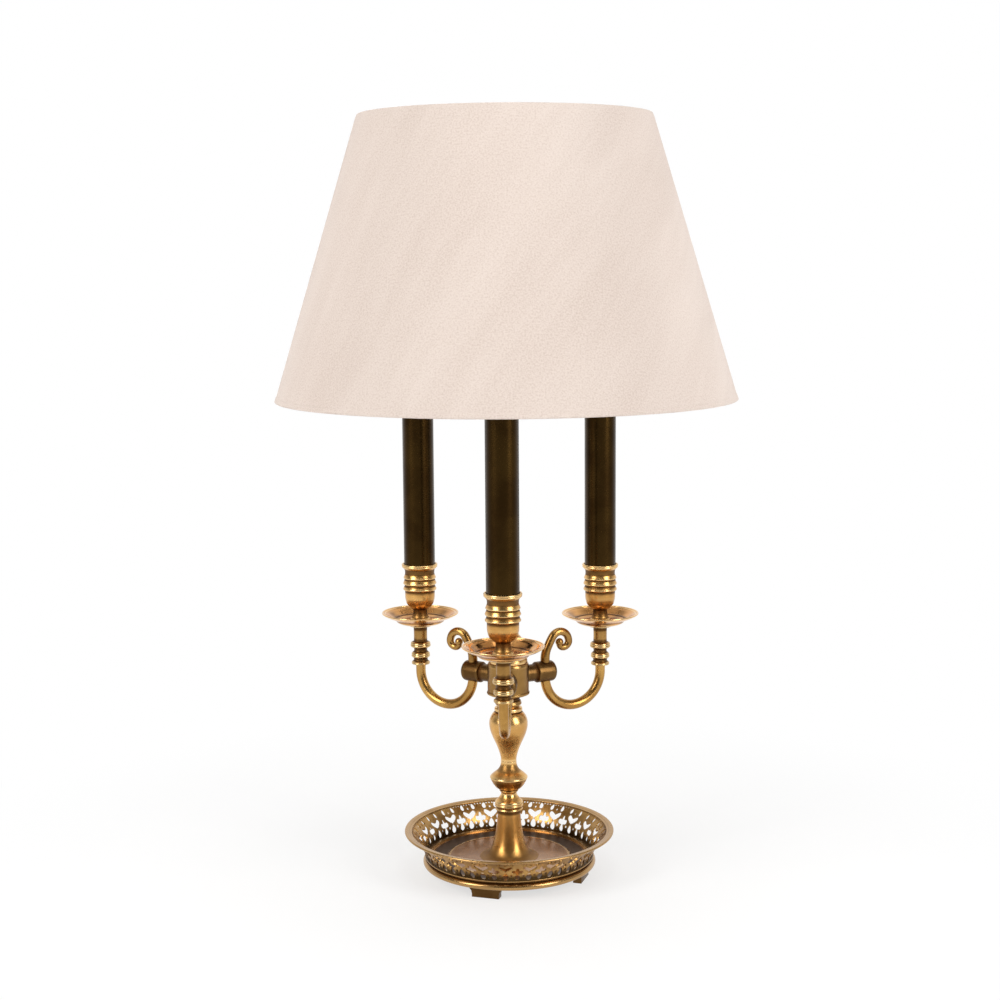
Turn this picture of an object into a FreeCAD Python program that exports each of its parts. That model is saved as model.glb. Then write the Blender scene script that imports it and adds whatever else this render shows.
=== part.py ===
import FreeCAD, Part
import math
import os
import types
import Sketcher

# Three-light candle table lamp with a pierced tray base and an empire shade.
# Millimetres, Z up, origin on the floor under the column, front arm towards -Y.

driving = {
    # Fits and cuts
    "fit_gap": 0.15,
    "run_gap": 0.1,
    "soft_gap": 0.3,
    # Hollow rod that clamps the column to the base
    "rod_radius": 5,
    "rod_wall": 1.5,
    "rod_top_inset": 8,
    # Bracket feet under the base ring
    "foot_count": 4,
    "foot_rise": 8,
    "foot_width": 26,
    "foot_depth": 7,
    "foot_inset": 1,
    "foot_turn": 15,
    # Cast base ring
    "ring_lip": 1.6,
    "ring_wall": 14.3,
    "ring_rise": 8,
    "ledge_width": 8,
    "ledge_drop": 3.5,
    # Tray floor
    "tray_thickness": 1.5,
    "tray_step_radius": 50,
    "tray_relief": 0.5,
    # Pierced gallery and its rim
    "gallery_units": 24,
    "gallery_foot_radius": 68.7,
    "gallery_rise": 19,
    "gallery_flare": 12,
    "gallery_thickness": 1.4,
    "rim_lip": 4.4,
    "rim_rise": 2.2,
    # Weight and clamp under the tray
    "weight_gap": 2,
    "weight_hollow_radius": 20,
    "weight_thickness": 3.5,
    "washer_radius": 15,
    "washer_thickness": 1.5,
    "nut_radius": 9.8,
    "nut_rise": 4.5,
    "rod_tail": 1,
    "bushing_flange": 1.2,
    "bushing_wall": 0.8,
    "bushing_depth": 6,
    # Column
    "trumpet_radius": 24,
    "trumpet_rise": 52.4,
    "knop_radius": 14.8,
    "knop_rise": 27.6,
    "vase_radius": 15.6,
    "vase_rise": 45.1,
    "hub_radius": 17.3,
    "hub_rise": 36,
    "cap_radius": 15.6,
    "cap_rise": 28,
    # Arms
    "arm_count": 3,
    "arm_reach": 86,
    "arm_wire_radius": 4,
    "bend_lead": 2,
    "arm_riser": 5,
    "boss_drop": 14,
    "boss_reach": 34,
    "boss_radius": 8.5,
    "boss_neck_radius": 7,
    "boss_neck_reach": 25,
    "scroll_wire_radius": 3.2,
    "scroll_root_rise": 10,
    "scroll_lean": 27,
    "scroll_root_radius": 20,
    "scroll_run": 9,
    "scroll_crown_radius": 8,
    "scroll_curl_radius": 4,
    "scroll_tip_radius": 3.4,
    "scroll_ball_radius": 3.6,
    # Ringed stem over the outer leg of each arm
    "stem_radius": 9,
    "stem_rise": 33.5,
    "stem_socket": 4,
    # Wax pan
    "pan_radius": 31.6,
    "pan_rise": 10.2,
    "pan_floor": 2.6,
    # Candle cup, sleeve and lampholder
    "cup_radius": 14.5,
    "cup_rise": 48.4,
    "cup_recess": 3.2,
    "sleeve_radius": 13,
    "sleeve_wall": 1,
    "sleeve_length": 160,
    "nipple_radius": 3.5,
    "nipple_wall": 1,
    "nipple_grip": 10,
    "holder_neck_radius": 7,
    "holder_rise": 60,
    "holder_inset": 4,
    # Bulb
    "bulb_cap_radius": 7,
    "bulb_cap_rise": 19,
    "bulb_radius": 17.5,
    "bulb_rise": 80,
    # Shade, its wire rings and its carrier
    "shade_top_radius": 114.6,
    "shade_bottom_radius": 181.7,
    "shade_rise": 220.2,
    "shade_foot": 388.1,
    "shade_skin": 1,
    "lining_skin": 0.8,
    "wire_size": 3,
    "wire_inset": 1.6,
    "carrier_radius": 12,
    "carrier_rise": 3,
    "carrier_drop": 45.3,
    "stud_radius": 3,
    "spider_count": 3,
    "spider_width": 6,
    "spider_thickness": 2,
    "spider_flat": 30,
    "finial_radius": 7.5,
    "finial_rise": 24,
    "finial_grip": 14,
}

doc = FreeCAD.newDocument("candle_lamp")
sheet = doc.addObject("Spreadsheet::Sheet", "Sizes")
for row, (alias, value) in enumerate(driving.items(), start=1):
    sheet.set(f"A{row}", alias)
    sheet.set(f"B{row}", str(value))
    sheet.setAlias(f"B{row}", alias)
doc.recompute()


# A size is a number from the sheet together with the expression that gives it.
class Size:
    def __init__(self, value, text):
        self.value = value
        self.text = text

    def __add__(self, other):
        return Size(self.value + other.value, f"({self.text} + {other.text})")

    def __sub__(self, other):
        return Size(self.value - other.value, f"({self.text} - {other.text})")

    def __mul__(self, share):
        return Size(self.value * share, f"({self.text} * ({share:.9f}))")

    def __neg__(self):
        return self * -1


zero = Size(0, "0")
dim = types.SimpleNamespace(**{alias: Size(sheet.get(alias), f"Sizes.{alias}") for alias in driving})

# Levels and radii that follow from the driving sizes
ring_top = dim.foot_rise + dim.ring_rise
tray_foot = ring_top - dim.ledge_drop
tray_top = tray_foot + dim.tray_thickness
ring_radius = dim.gallery_foot_radius + dim.ring_lip
ring_hollow_radius = ring_radius - dim.ring_wall
ledge_radius = ring_hollow_radius + dim.ledge_width
gallery_top = ring_top + dim.gallery_rise
gallery_top_radius = dim.gallery_foot_radius + dim.gallery_flare
washer_foot = tray_foot - dim.washer_thickness
nut_foot = washer_foot - dim.nut_rise
rod_foot = nut_foot - dim.rod_tail
rod_bore = dim.rod_radius + dim.fit_gap
knop_foot = tray_top + dim.trumpet_rise
vase_foot = knop_foot + dim.knop_rise
hub_foot = vase_foot + dim.vase_rise
hub_top = hub_foot + dim.hub_rise
cap_top = hub_top + dim.cap_rise
rod_top = cap_top - dim.rod_top_inset
boss_level = hub_top - dim.boss_drop
bend_level = boss_level - dim.bend_lead
bend_radius = (dim.arm_reach - dim.boss_reach) * 0.5
stem_foot = bend_level + dim.arm_riser
nipple_foot = stem_foot + dim.stem_socket
nipple_bore = dim.nipple_radius + dim.fit_gap
pan_foot = stem_foot + dim.stem_rise
cup_foot = pan_foot + dim.pan_floor
cup_top = cup_foot + dim.cup_rise
sleeve_foot = cup_top - dim.cup_recess
sleeve_top = sleeve_foot + dim.sleeve_length
holder_top = sleeve_top - dim.holder_inset
holder_foot = holder_top - dim.holder_rise
nipple_top = holder_foot + dim.nipple_grip
bulb_foot = holder_top + dim.soft_gap
shade_top = dim.shade_foot + dim.shade_rise
lining_inset = dim.shade_skin + dim.fit_gap
wall_depth = lining_inset + dim.lining_skin + dim.fit_gap
top_wire_radius = dim.shade_top_radius - wall_depth
wire_drop = dim.wire_inset + dim.wire_size
shade_slope_share = (dim.shade_bottom_radius.value - dim.shade_top_radius.value) / dim.shade_rise.value
bottom_wire_radius = dim.shade_bottom_radius - wall_depth - wire_drop * shade_slope_share
carrier_foot = shade_top - dim.carrier_drop
spider_foot = carrier_foot + dim.carrier_rise
finial_foot = spider_foot + dim.spider_thickness
stud_top = finial_foot + dim.finial_grip

arm_step = 360 / dim.arm_count.value
foot_step = 360 / dim.foot_count.value
front = -90


def plane(body, role):
    return next(item for item in body.Origin.OriginFeatures if item.Role == role)


def new_body(name, turn=0.0):
    body = doc.addObject("PartDesign::Body", name)
    body.Label = name
    body.AllowCompound = True
    body.Placement.Rotation = FreeCAD.Rotation(FreeCAD.Vector(0, 0, 1), turn)
    return body


# Arc from start to end; a positive radius has its centre left of the way.
def arc_between(start, end, radius):
    chord = end - start
    side = FreeCAD.Vector(-chord.y, chord.x, 0).normalize()
    height = math.sqrt(max(radius ** 2 - (chord.Length / 2) ** 2, 0))
    centre = start + chord / 2 + side * math.copysign(height, radius)
    return Part.Arc(start, centre - side * radius, end)


def bind(sketch, constraint, size):
    number = sketch.addConstraint(constraint)
    sketch.setExpression(f"Constraints[{number}]", size.text)


def fix(sketch, edge, end, point):
    for kind, axis, size in (("DistanceX", -2, point[0]), ("DistanceY", -1, point[1])):
        if size.value:
            bind(sketch, Sketcher.Constraint(kind, edge, end, size.value), size)
        else:
            sketch.addConstraint(Sketcher.Constraint("PointOnObject", edge, end, axis))


# Adds a chain of edges to a sketch. Each point is (across, up), or
# (across, up, radius) where an arc leads to it.
def add_chain(sketch, points, closed=True):
    count = len(points)
    edges = []
    for index in range(count if closed else count - 1):
        start = FreeCAD.Vector(points[index][0].value, points[index][1].value, 0)
        target = points[(index + 1) % count]
        end = FreeCAD.Vector(target[0].value, target[1].value, 0)
        tail = 1
        if len(target) == 3:
            number = sketch.addGeometry(arc_between(start, end, target[2].value), False)
            radius = target[2] * math.copysign(1, target[2].value)
            bind(sketch, Sketcher.Constraint("Radius", number, radius.value), radius)
            # Every arc runs anticlockwise, so a clockwise one starts at its far end.
            tail = 1 if target[2].value > 0 else 2
        else:
            number = sketch.addGeometry(Part.LineSegment(start, end), False)
        edges.append((number, tail))
        fix(sketch, number, tail, points[index])
    for index in range(len(edges) if closed else len(edges) - 1):
        number, tail = edges[index]
        following, next_tail = edges[(index + 1) % len(edges)]
        sketch.addConstraint(Sketcher.Constraint("Coincident", number, 3 - tail, following, next_tail))
    if not closed:
        fix(sketch, edges[-1][0], 3 - edges[-1][1], points[-1])


# Sketch on one of the body's own planes, shifted by across, up and out.
def new_sketch(body, name, role, across=zero, up=zero, out=zero):
    sketch = body.newObject("Sketcher::SketchObject", f"{body.Label}_{name}")
    sketch.AttachmentSupport = (plane(body, role), [""])
    sketch.MapMode = "FlatFace"
    for axis, size in (("x", across), ("y", up), ("z", out)):
        if size.value:
            sketch.setExpression(f"AttachmentOffset.Base.{axis}", size.text)
    return sketch


# Turned form: an outline spun about the upright line at across.
def spin(body, points, name="outline", across=zero, up=zero, axis="V_Axis"):
    sketch = new_sketch(body, name, "XZ_Plane", across, up)
    add_chain(sketch, points)
    feature = body.newObject("PartDesign::Revolution", f"{body.Label}_{name}_spin")
    feature.Profile = sketch
    feature.ReferenceAxis = (sketch, [axis])
    feature.Angle = 360
    body.Tip = feature


# Flat sides of the turned forms, by how large they are.
base_sides = 40
shade_sides = 48
column_sides = 20
candle_sides = 16
small_sides = 12
wire_sides = 8
bend_step = math.radians(30)
arm_turns = [front + arm_step * number for number in range(int(dim.arm_count.value))]
upright = FreeCAD.Rotation(FreeCAD.Vector(1, 0, 0), 90)


# Corners of a level ring with flat sides; a ring on the axis is one point.
def ring_corners(radius, height, sides):
    if not radius.value:
        return [FreeCAD.Vector(0, 0, height.value)]
    angles = [2 * math.pi * (side + 0.5) / sides for side in range(sides)]
    return [FreeCAD.Vector(radius.value * math.cos(angle), radius.value * math.sin(angle), height.value)
            for angle in angles]


def flat_face(corners):
    return Part.makePolygon(corners + corners[:1])


# Faces between two neighbouring rings of an outline.
def band_faces(lower, upper):
    if len(lower) == len(upper) == 1:
        return []
    if len({corner.z for corner in lower + upper}) == 1:
        wires = [flat_face(ring) for ring in (lower, upper) if len(ring) > 1]
        return [Part.makeFace(wires, "Part::FaceMakerBullseye")]
    sides = max(len(lower), len(upper))
    faces = []
    for side in range(sides):
        after = (side + 1) % sides
        corners = [lower[side % len(lower)], lower[after % len(lower)], upper[after % len(upper)],
                   upper[side % len(upper)]]
        corners = [corner for index, corner in enumerate(corners) if corner != corners[index - 1]]
        faces.append(Part.Face(flat_face(corners)))
    return faces


def closed_solid(faces):
    solid = Part.Solid(Part.Shell(faces))
    if solid.Volume < 0:
        solid.reverse()
    return solid


# Sketch of an outline or a path on the upright plane of the front arm.
def upright_sketch(name, points, closed=True):
    sketch = doc.addObject("Sketcher::SketchObject", name)
    sketch.Placement.Rotation = upright
    add_chain(sketch, points, closed)


# Turned solid with flat sides about the upright line at across.
def turned_solid(name, points, sides, across=zero):
    upright_sketch(f"{name}_outline", points)
    rings = [ring_corners(radius, height, sides) for radius, height in points]
    faces = []
    for lower, upper in zip(rings, rings[1:] + rings[:1]):
        faces += band_faces(lower, upper)
    solid = closed_solid(faces)
    solid.translate(FreeCAD.Vector(across.value, 0, 0))
    return solid


# Piece made of one solid for each turn about the lamp's axis.
def repeated(name, solid, turns=(0,)):
    copies = []
    for turn in turns:
        copy = solid.copy()
        copy.rotate(FreeCAD.Vector(), FreeCAD.Vector(0, 0, 1), turn)
        copies.append(copy)
    piece = doc.addObject("Part::Feature", name)
    piece.Label = name
    piece.Shape = copies[0] if len(copies) == 1 else Part.Compound(copies)
    return piece


def turn_flat(name, points, sides, across=zero, turns=(0,)):
    return repeated(name, turned_solid(name, points, sides, across), turns)


# Points along a path and the way left of it at each.
def wire_sections(path):
    sections = []
    for start, target in zip(path, path[1:]):
        begin = FreeCAD.Vector(start[0].value, start[1].value, 0)
        end = FreeCAD.Vector(target[0].value, target[1].value, 0)
        points = [begin, end]
        chord = (end - begin).normalize()
        sides = [FreeCAD.Vector(-chord.y, chord.x, 0)] * 2
        if len(target) == 3:
            arc = arc_between(begin, end, target[2].value).toShape()
            steps = math.ceil((arc.LastParameter - arc.FirstParameter) / bend_step)
            points = arc.discretize(steps + 1)
            sides = [(arc.Curve.Center - point) / target[2].value for point in points]
        sections += list(zip(points, sides))[1 if sections else 0:]
    return sections


# Round wire with flat sides along a path on the plane of the front arm.
def wire_solid(name, path, radius):
    upright_sketch(f"{name}_path", path, closed=False)
    rings = [[point + (side * across.value + FreeCAD.Vector(0, 0, out.value))
              for across, out in polygon(wire_sides, radius)] for point, side in wire_sections(path)]
    faces = [Part.Face(flat_face(rings[0])), Part.Face(flat_face(rings[-1]))]
    for lower, upper in zip(rings, rings[1:]):
        faces += band_faces(lower, upper)
    solid = closed_solid(faces)
    solid.Placement.Rotation = upright
    return solid


# Outline points from shares of a piece's own radius and height.
def scaled(shares, radius, rise, foot):
    return [(radius * across, foot + rise * up) for across, up in shares]


# Closes a turned outline with a straight bore.
def bored(points, bore):
    return [(bore, points[0][1])] + points + [(bore, points[-1][1])]


def add_circle(sketch, radius, across=zero):
    centre = FreeCAD.Vector(across.value, 0, 0)
    number = sketch.addGeometry(Part.Circle(centre, FreeCAD.Vector(0, 0, 1), radius.value), False)
    bind(sketch, Sketcher.Constraint("Radius", number, radius.value), radius)
    fix(sketch, number, 3, (across, zero))


def pad(body, sketch, length, midplane=False):
    feature = body.newObject("PartDesign::Pad", f"{sketch.Label}_pad")
    feature.Profile = sketch
    feature.setExpression("Length", length.text)
    feature.Midplane = midplane
    body.Tip = feature


def around(body, count):
    doc.recompute()
    pattern = body.newObject("PartDesign::PolarPattern", f"{body.Label}_around")
    pattern.TransformMode = "Whole shape"
    pattern.Axis = (plane(body, "Z_Axis"), [""])
    pattern.Angle = 360
    pattern.Occurrences = int(count.value)
    body.Tip = pattern


def polygon(sides, radius):
    angles = [2 * math.pi * (side + 0.5) / sides for side in range(sides)]
    return [(radius * math.cos(angle), radius * math.sin(angle)) for angle in angles]


# Base

foot_shares = [(-0.42, 0), (0.42, 0), (0.42, 0.5), (0.5, 0.7), (0.5, 1), (-0.5, 1), (-0.5, 0.7), (-0.42, 0.5)]


def make_foot(number):
    body = new_body(f"foot_{number + 1}", front - dim.foot_turn.value + foot_step * number)
    sketch = new_sketch(body, "front", "YZ_Plane", out=ring_hollow_radius + dim.foot_inset)
    add_chain(sketch, scaled(foot_shares, dim.foot_width, dim.foot_rise, zero))
    pad(body, sketch, dim.foot_depth)
    return body


ring_shares = [(0.932, 0), (0.989, 0.125), (1, 0.325), (1, 0.575), (0.984, 0.775), (0.962, 0.85), (0.962, 0.925),
               (0.982, 1)]


def make_base_ring():
    outer = scaled(ring_shares, ring_radius, dim.ring_rise, dim.foot_rise)
    inner = [(ledge_radius, ring_top), (ledge_radius, tray_foot), (ring_hollow_radius, tray_foot),
             (ring_hollow_radius, dim.foot_rise)]
    return turn_flat("base_ring", outer + inner, base_sides)


def make_tray_floor():
    edge = ledge_radius - dim.fit_gap
    step = dim.tray_step_radius
    relief = dim.tray_relief
    return turn_flat("tray_floor", [
        (rod_bore, tray_foot),
        (edge, tray_foot),
        (edge, tray_top + relief),
        (edge - relief * 3, tray_top + relief),
        (edge - relief * 6, tray_top - relief),
        (step + relief * 4, tray_top - relief),
        (step + relief, tray_top + relief),
        (step - relief, tray_top + relief),
        (step - relief * 4, tray_top),
        (rod_bore, tray_top),
    ], base_sides)


# Cut-outs of one repeat of the gallery, as shares of the repeat's width and of
# the gallery's height: a pear, a tulip, two teardrops and two beads about the
# middle of a facet, and a club over the edge between two facets.
pear_shares = [(-0.07, 0.1), (0.07, 0.1), (0.13, 0.22), (0, 0.45), (-0.13, 0.22)]
tulip_shares = [(0, 0.5), (0.1, 0.62), (0.3, 0.68), (0.25, 0.82), (0, 0.66), (-0.25, 0.82), (-0.3, 0.68),
                (-0.1, 0.62)]
tear_shares = [(0.33, 0.77), (0.42, 0.7), (0.44, 0.8), (0.36, 0.93)]
bead_shares = [(0.26, 0.15), (0.31, 0.22), (0.26, 0.29), (0.21, 0.22)]
club_shares = [(0.06, 0.1), (0.11, 0.22), (0.04, 0.36), (0.2, 0.42), (0.16, 0.54), (0, 0.64), (-0.16, 0.54),
               (-0.2, 0.42), (-0.04, 0.36), (-0.11, 0.22), (-0.06, 0.1)]


def mirrored(shares):
    return [(-across, up) for across, up in reversed(shares)]


def make_gallery_band():
    units = int(dim.gallery_units.value)
    to_corner = 1 / math.cos(math.pi / units)
    foot_radius = dim.gallery_foot_radius
    depth = dim.gallery_thickness
    wall = turn_flat("gallery_wall", [
        ((foot_radius - depth) * to_corner, ring_top),
        (foot_radius * to_corner, ring_top),
        (gallery_top_radius * to_corner, gallery_top),
        ((gallery_top_radius - depth) * to_corner, gallery_top),
    ], units)
    band = doc.addObject("Part::Cut", "gallery_band")
    band.Base = wall
    band.Tool = gallery_cutters(units)
    band.Placement.Rotation = FreeCAD.Rotation(FreeCAD.Vector(0, 0, 1), front)
    return band


# Radial prism through the wall for one cut-out.
def gallery_prism(shares, width):
    lowest = min(up for across, up in shares)
    highest = max(up for across, up in shares)
    overrun = dim.gallery_thickness * 2
    start = dim.gallery_foot_radius + dim.gallery_flare * lowest - overrun
    reach = dim.gallery_flare * (highest - lowest) + overrun * 2
    corners = [FreeCAD.Vector(start.value, across.value, up.value)
               for across, up in scaled(shares, width, dim.gallery_rise, ring_top)]
    return Part.Face(flat_face(corners)).extrude(FreeCAD.Vector(reach.value, 0, 0))


# Every cut-out, all round the band.
def gallery_cutters(units):
    width = (dim.gallery_foot_radius + dim.gallery_flare * 0.5) * (2 * math.tan(math.pi / units))
    facet_shapes = [pear_shares, tulip_shares, tear_shares, mirrored(tear_shares), bead_shares,
                    mirrored(bead_shares)]
    prisms = [(gallery_prism(shares, width), 0) for shares in facet_shapes]
    prisms.append((gallery_prism(club_shares, width), 180 / units))
    copies = []
    for prism, lead in prisms:
        for unit in range(units):
            copy = prism.copy()
            copy.rotate(FreeCAD.Vector(), FreeCAD.Vector(0, 0, 1), lead + 360 / units * unit)
            copies.append(copy)
    cutters = doc.addObject("Part::Feature", "gallery_cutters")
    cutters.Shape = Part.Compound(copies)
    return cutters


def make_gallery_rim():
    inner = gallery_top_radius - dim.gallery_thickness
    outer = gallery_top_radius + dim.rim_lip
    rise = dim.rim_rise
    return turn_flat("gallery_rim", [
        (inner, gallery_top),
        (outer - rise * 0.5, gallery_top),
        (outer, gallery_top + rise * 0.4),
        (outer - rise * 0.1, gallery_top + rise * 0.8),
        (outer - rise * 0.7, gallery_top + rise),
        (inner, gallery_top + rise * 0.6),
    ], base_sides)


# Weight and clamp under the tray

def flat_ring(name, inner, outer, foot, rise, sides, across=zero, turns=(0,)):
    points = [(inner, foot), (outer, foot), (outer, foot + rise), (inner, foot + rise)]
    return turn_flat(name, points, sides, across, turns)


def make_weight_ring():
    foot = tray_foot - dim.weight_thickness
    outer = ring_hollow_radius - dim.weight_gap
    return flat_ring("weight_ring", dim.weight_hollow_radius, outer, foot, dim.weight_thickness, base_sides)


def make_base_washer():
    return flat_ring("base_washer", rod_bore, dim.washer_radius, washer_foot, dim.washer_thickness, column_sides)


def make_base_nut():
    body = new_body("base_nut")
    sketch = new_sketch(body, "hexagon", "XY_Plane", out=nut_foot)
    add_chain(sketch, polygon(6, dim.nut_radius))
    add_circle(sketch, rod_bore)
    pad(body, sketch, dim.nut_rise)
    return body


def make_through_rod():
    inner = dim.rod_radius - dim.rod_wall
    return flat_ring("through_rod", inner, dim.rod_radius, rod_foot, rod_top - rod_foot, column_sides)


def make_cord_bushing():
    body = new_body("cord_bushing")
    outer = dim.rod_radius - dim.rod_wall - dim.fit_gap
    inner = outer - dim.bushing_wall
    foot = rod_foot - dim.bushing_flange
    spin(body, [(inner, foot), (dim.rod_radius, foot), (dim.rod_radius, rod_foot), (outer, rod_foot),
                (outer, rod_foot + dim.bushing_depth), (inner, rod_foot + dim.bushing_depth)])
    return body


# Column

trumpet_shares = [(1, 0), (0.98, 0.015), (0.84, 0.04), (0.71, 0.085), (0.61, 0.16), (0.49, 0.32), (0.425, 0.5),
                  (0.385, 0.73), (0.467, 0.78), (0.467, 0.84), (0.4, 0.91), (0.296, 0.96), (0.267, 1)]
knop_shares = [(0.432, 0), (0.703, 0.185), (0.905, 0.348), (1, 0.449), (1, 0.543), (0.811, 0.641), (0.588, 0.739),
               (0.446, 0.855), (0.426, 1)]
vase_shares = [(0.404, 0), (0.404, 0.058), (0.558, 0.224), (0.744, 0.39), (0.897, 0.501), (0.987, 0.616), (1, 0.71),
               (0.923, 0.809), (0.788, 0.889), (0.66, 0.922), (0.712, 0.949), (0.712, 0.984), (0.654, 1)]
hub_shares = [(0.497, 0), (0.497, 0.036), (0.613, 0.064), (0.613, 0.131), (0.532, 0.164), (0.566, 0.206), (1, 0.317),
              (1, 0.975), (0.948, 1)]
cap_shares = [(1, 0), (1, 0.068), (0.923, 0.282), (0.872, 0.496), (0.795, 0.657), (0.577, 0.804), (0.423, 0.875),
              (0.423, 1)]


def turned_piece(name, shares, radius, rise, foot):
    return turn_flat(name, bored(scaled(shares, radius, rise, foot), rod_bore), column_sides)


# Arms

# Turned bosses that lie along the arms, cut out for the hub and the tubes.
def make_arm_bosses():
    start = dim.hub_radius * 0.8
    end = dim.boss_reach + dim.boss_radius
    blank = turned_solid("boss", [
        (zero, start),
        (dim.boss_neck_radius, start),
        (dim.boss_neck_radius, dim.boss_neck_reach),
        (dim.boss_radius, dim.boss_neck_reach + dim.boss_radius * 0.2),
        (dim.boss_radius, end - dim.boss_radius * 0.35),
        (dim.boss_radius * 0.6, end),
        (zero, end),
    ], small_sides)
    blank.rotate(FreeCAD.Vector(), FreeCAD.Vector(0, 1, 0), 90)
    blanks = repeated("boss_blanks", blank, arm_turns)
    blanks.setExpression("Placement.Base.z", boss_level.text)
    hub_tool = doc.addObject("Part::Cylinder", "hub_tool")
    hub_tool.setExpression("Radius", (dim.hub_radius + dim.fit_gap).text)
    hub_tool.setExpression("Height", (dim.boss_radius * 3).text)
    hub_tool.setExpression("Placement.Base.z", (boss_level - dim.boss_radius * 1.5).text)
    upper = [(dim.boss_reach, boss_level + dim.boss_radius * 1.5)]
    tube = wire_solid("tube_tool", upper + bend_path()[:2], dim.arm_wire_radius + dim.fit_gap)
    tools = doc.addObject("Part::Compound", "boss_tools")
    tools.Links = [hub_tool, repeated("tube_tools", tube, arm_turns)]
    bosses = doc.addObject("Part::Cut", "arm_bosses")
    bosses.Base = blanks
    bosses.Tool = tools
    return bosses


# Path of an arm below the boss: down, round and up to the candle axis.
def bend_path():
    return [
        (dim.boss_reach, bend_level),
        (dim.boss_reach + bend_radius, bend_level - bend_radius, bend_radius),
        (dim.arm_reach, bend_level, bend_radius),
        (dim.arm_reach, nipple_foot),
    ]


def make_arm_tubes():
    tube = wire_solid("arm_tube", [(dim.boss_reach, boss_level)] + bend_path(), dim.arm_wire_radius)
    return repeated("arm_tubes", tube, arm_turns)


# Path of a scroll: it leans outwards, goes over its crown and curls in.
def scroll_path():
    lean = math.radians(dim.scroll_lean.value)
    across = dim.boss_reach
    up = boss_level + dim.scroll_root_rise
    points = [(across, up)]
    heading = 0
    for radius, turn in ((dim.scroll_root_radius, lean), (dim.scroll_crown_radius, math.pi),
                         (dim.scroll_curl_radius, math.pi * 1.5), (dim.scroll_tip_radius, math.pi * 2.1)):
        across = across + radius * (math.cos(heading) - math.cos(turn))
        up = up + radius * (math.sin(turn) - math.sin(heading))
        points.append((across, up, -radius))
        heading = turn
        if turn == lean:
            across = across + dim.scroll_run * math.sin(lean)
            up = up + dim.scroll_run * math.cos(lean)
            points.append((across, up))
    return points


ball_shares = [(0, -1), (0.7, -0.7), (1, 0), (0.7, 0.7), (0, 1)]


def make_arm_scrolls():
    path = scroll_path()
    volute = wire_solid("scroll", path, dim.scroll_wire_radius)
    root = turned_solid("scroll_root", [
        (zero, boss_level),
        (dim.arm_wire_radius, boss_level),
        (dim.arm_wire_radius, path[0][1]),
        (dim.scroll_wire_radius, path[0][1] + dim.scroll_wire_radius),
        (zero, path[0][1] + dim.scroll_wire_radius),
    ], wire_sides, dim.boss_reach)
    ball = turned_solid("scroll_ball", scaled(ball_shares, dim.scroll_ball_radius, dim.scroll_ball_radius,
                                              path[-1][1]), wire_sides, path[-1][0])
    return repeated("arm_scrolls", volute.fuse([root, ball]), arm_turns)


stem_shares = [(0.811, 0), (0.811, 0.057), (0.678, 0.134), (0.844, 0.206), (0.844, 0.284), (0.644, 0.367),
               (0.9, 0.463), (0.9, 0.528), (0.622, 0.594), (0.622, 0.878), (1, 0.952), (1, 1)]


def make_arm_stems():
    socket = dim.arm_wire_radius + dim.fit_gap
    bore = [(nipple_bore, pan_foot), (nipple_bore, nipple_foot), (socket, nipple_foot), (socket, stem_foot)]
    outer = scaled(stem_shares, dim.stem_radius, dim.stem_rise, stem_foot)
    return turn_flat("arm_stems", outer + bore, small_sides, dim.arm_reach, arm_turns)


pan_shares = [(0.32, 0), (0.62, 0.19), (0.89, 0.58), (1, 0.84), (1, 0.97), (0.955, 1), (0.86, 0.82), (0.7, 0.5),
              (0.42, 0.27)]


def make_wax_pans():
    dish = scaled(pan_shares, dim.pan_radius, dim.pan_rise, pan_foot)
    seat = [(dim.stem_radius, cup_foot), (nipple_bore, cup_foot), (nipple_bore, pan_foot)]
    return turn_flat("wax_pans", dish + seat, candle_sides, dim.arm_reach, arm_turns)


cup_shares = [(0.593, 0), (0.566, 0.055), (0.414, 0.165), (0.414, 0.225), (0.676, 0.295), (0.841, 0.385),
              (0.841, 0.535), (0.924, 0.565), (0.924, 0.61), (0.862, 0.635), (0.924, 0.66), (0.924, 0.705),
              (0.841, 0.75), (0.841, 0.87), (1, 0.955), (1, 1)]


def make_candle_cups():
    recess = dim.sleeve_radius + dim.soft_gap
    inner = [(recess, cup_top), (recess, sleeve_foot), (nipple_bore, sleeve_foot), (nipple_bore, cup_foot)]
    outer = scaled(cup_shares, dim.cup_radius, dim.cup_rise, cup_foot)
    return turn_flat("candle_cups", outer + inner, candle_sides, dim.arm_reach, arm_turns)


def make_candle_nipples():
    inner = dim.nipple_radius - dim.nipple_wall
    return flat_ring("candle_nipples", inner, dim.nipple_radius, nipple_foot, nipple_top - nipple_foot, small_sides,
                     dim.arm_reach, arm_turns)


def make_lampholders():
    outer = dim.sleeve_radius - dim.sleeve_wall - dim.soft_gap
    socket = dim.bulb_cap_radius + dim.soft_gap
    socket_floor = bulb_foot - dim.bulb_cap_rise - dim.soft_gap
    shoulder = nipple_top + dim.nipple_radius
    return turn_flat("lampholders", [
        (nipple_bore, holder_foot),
        (dim.holder_neck_radius, holder_foot),
        (dim.holder_neck_radius, nipple_top),
        (outer, shoulder),
        (outer, holder_top),
        (socket, holder_top),
        (socket, socket_floor),
        (zero, socket_floor),
        (zero, nipple_top),
        (nipple_bore, nipple_top),
    ], candle_sides, dim.arm_reach, arm_turns)


def make_sleeve(number):
    inner = dim.sleeve_radius - dim.sleeve_wall
    return flat_ring(f"candle_sleeve_{number + 1}", inner, dim.sleeve_radius, sleeve_foot, dim.sleeve_length,
                     candle_sides, dim.arm_reach, arm_turns[number:number + 1])


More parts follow.
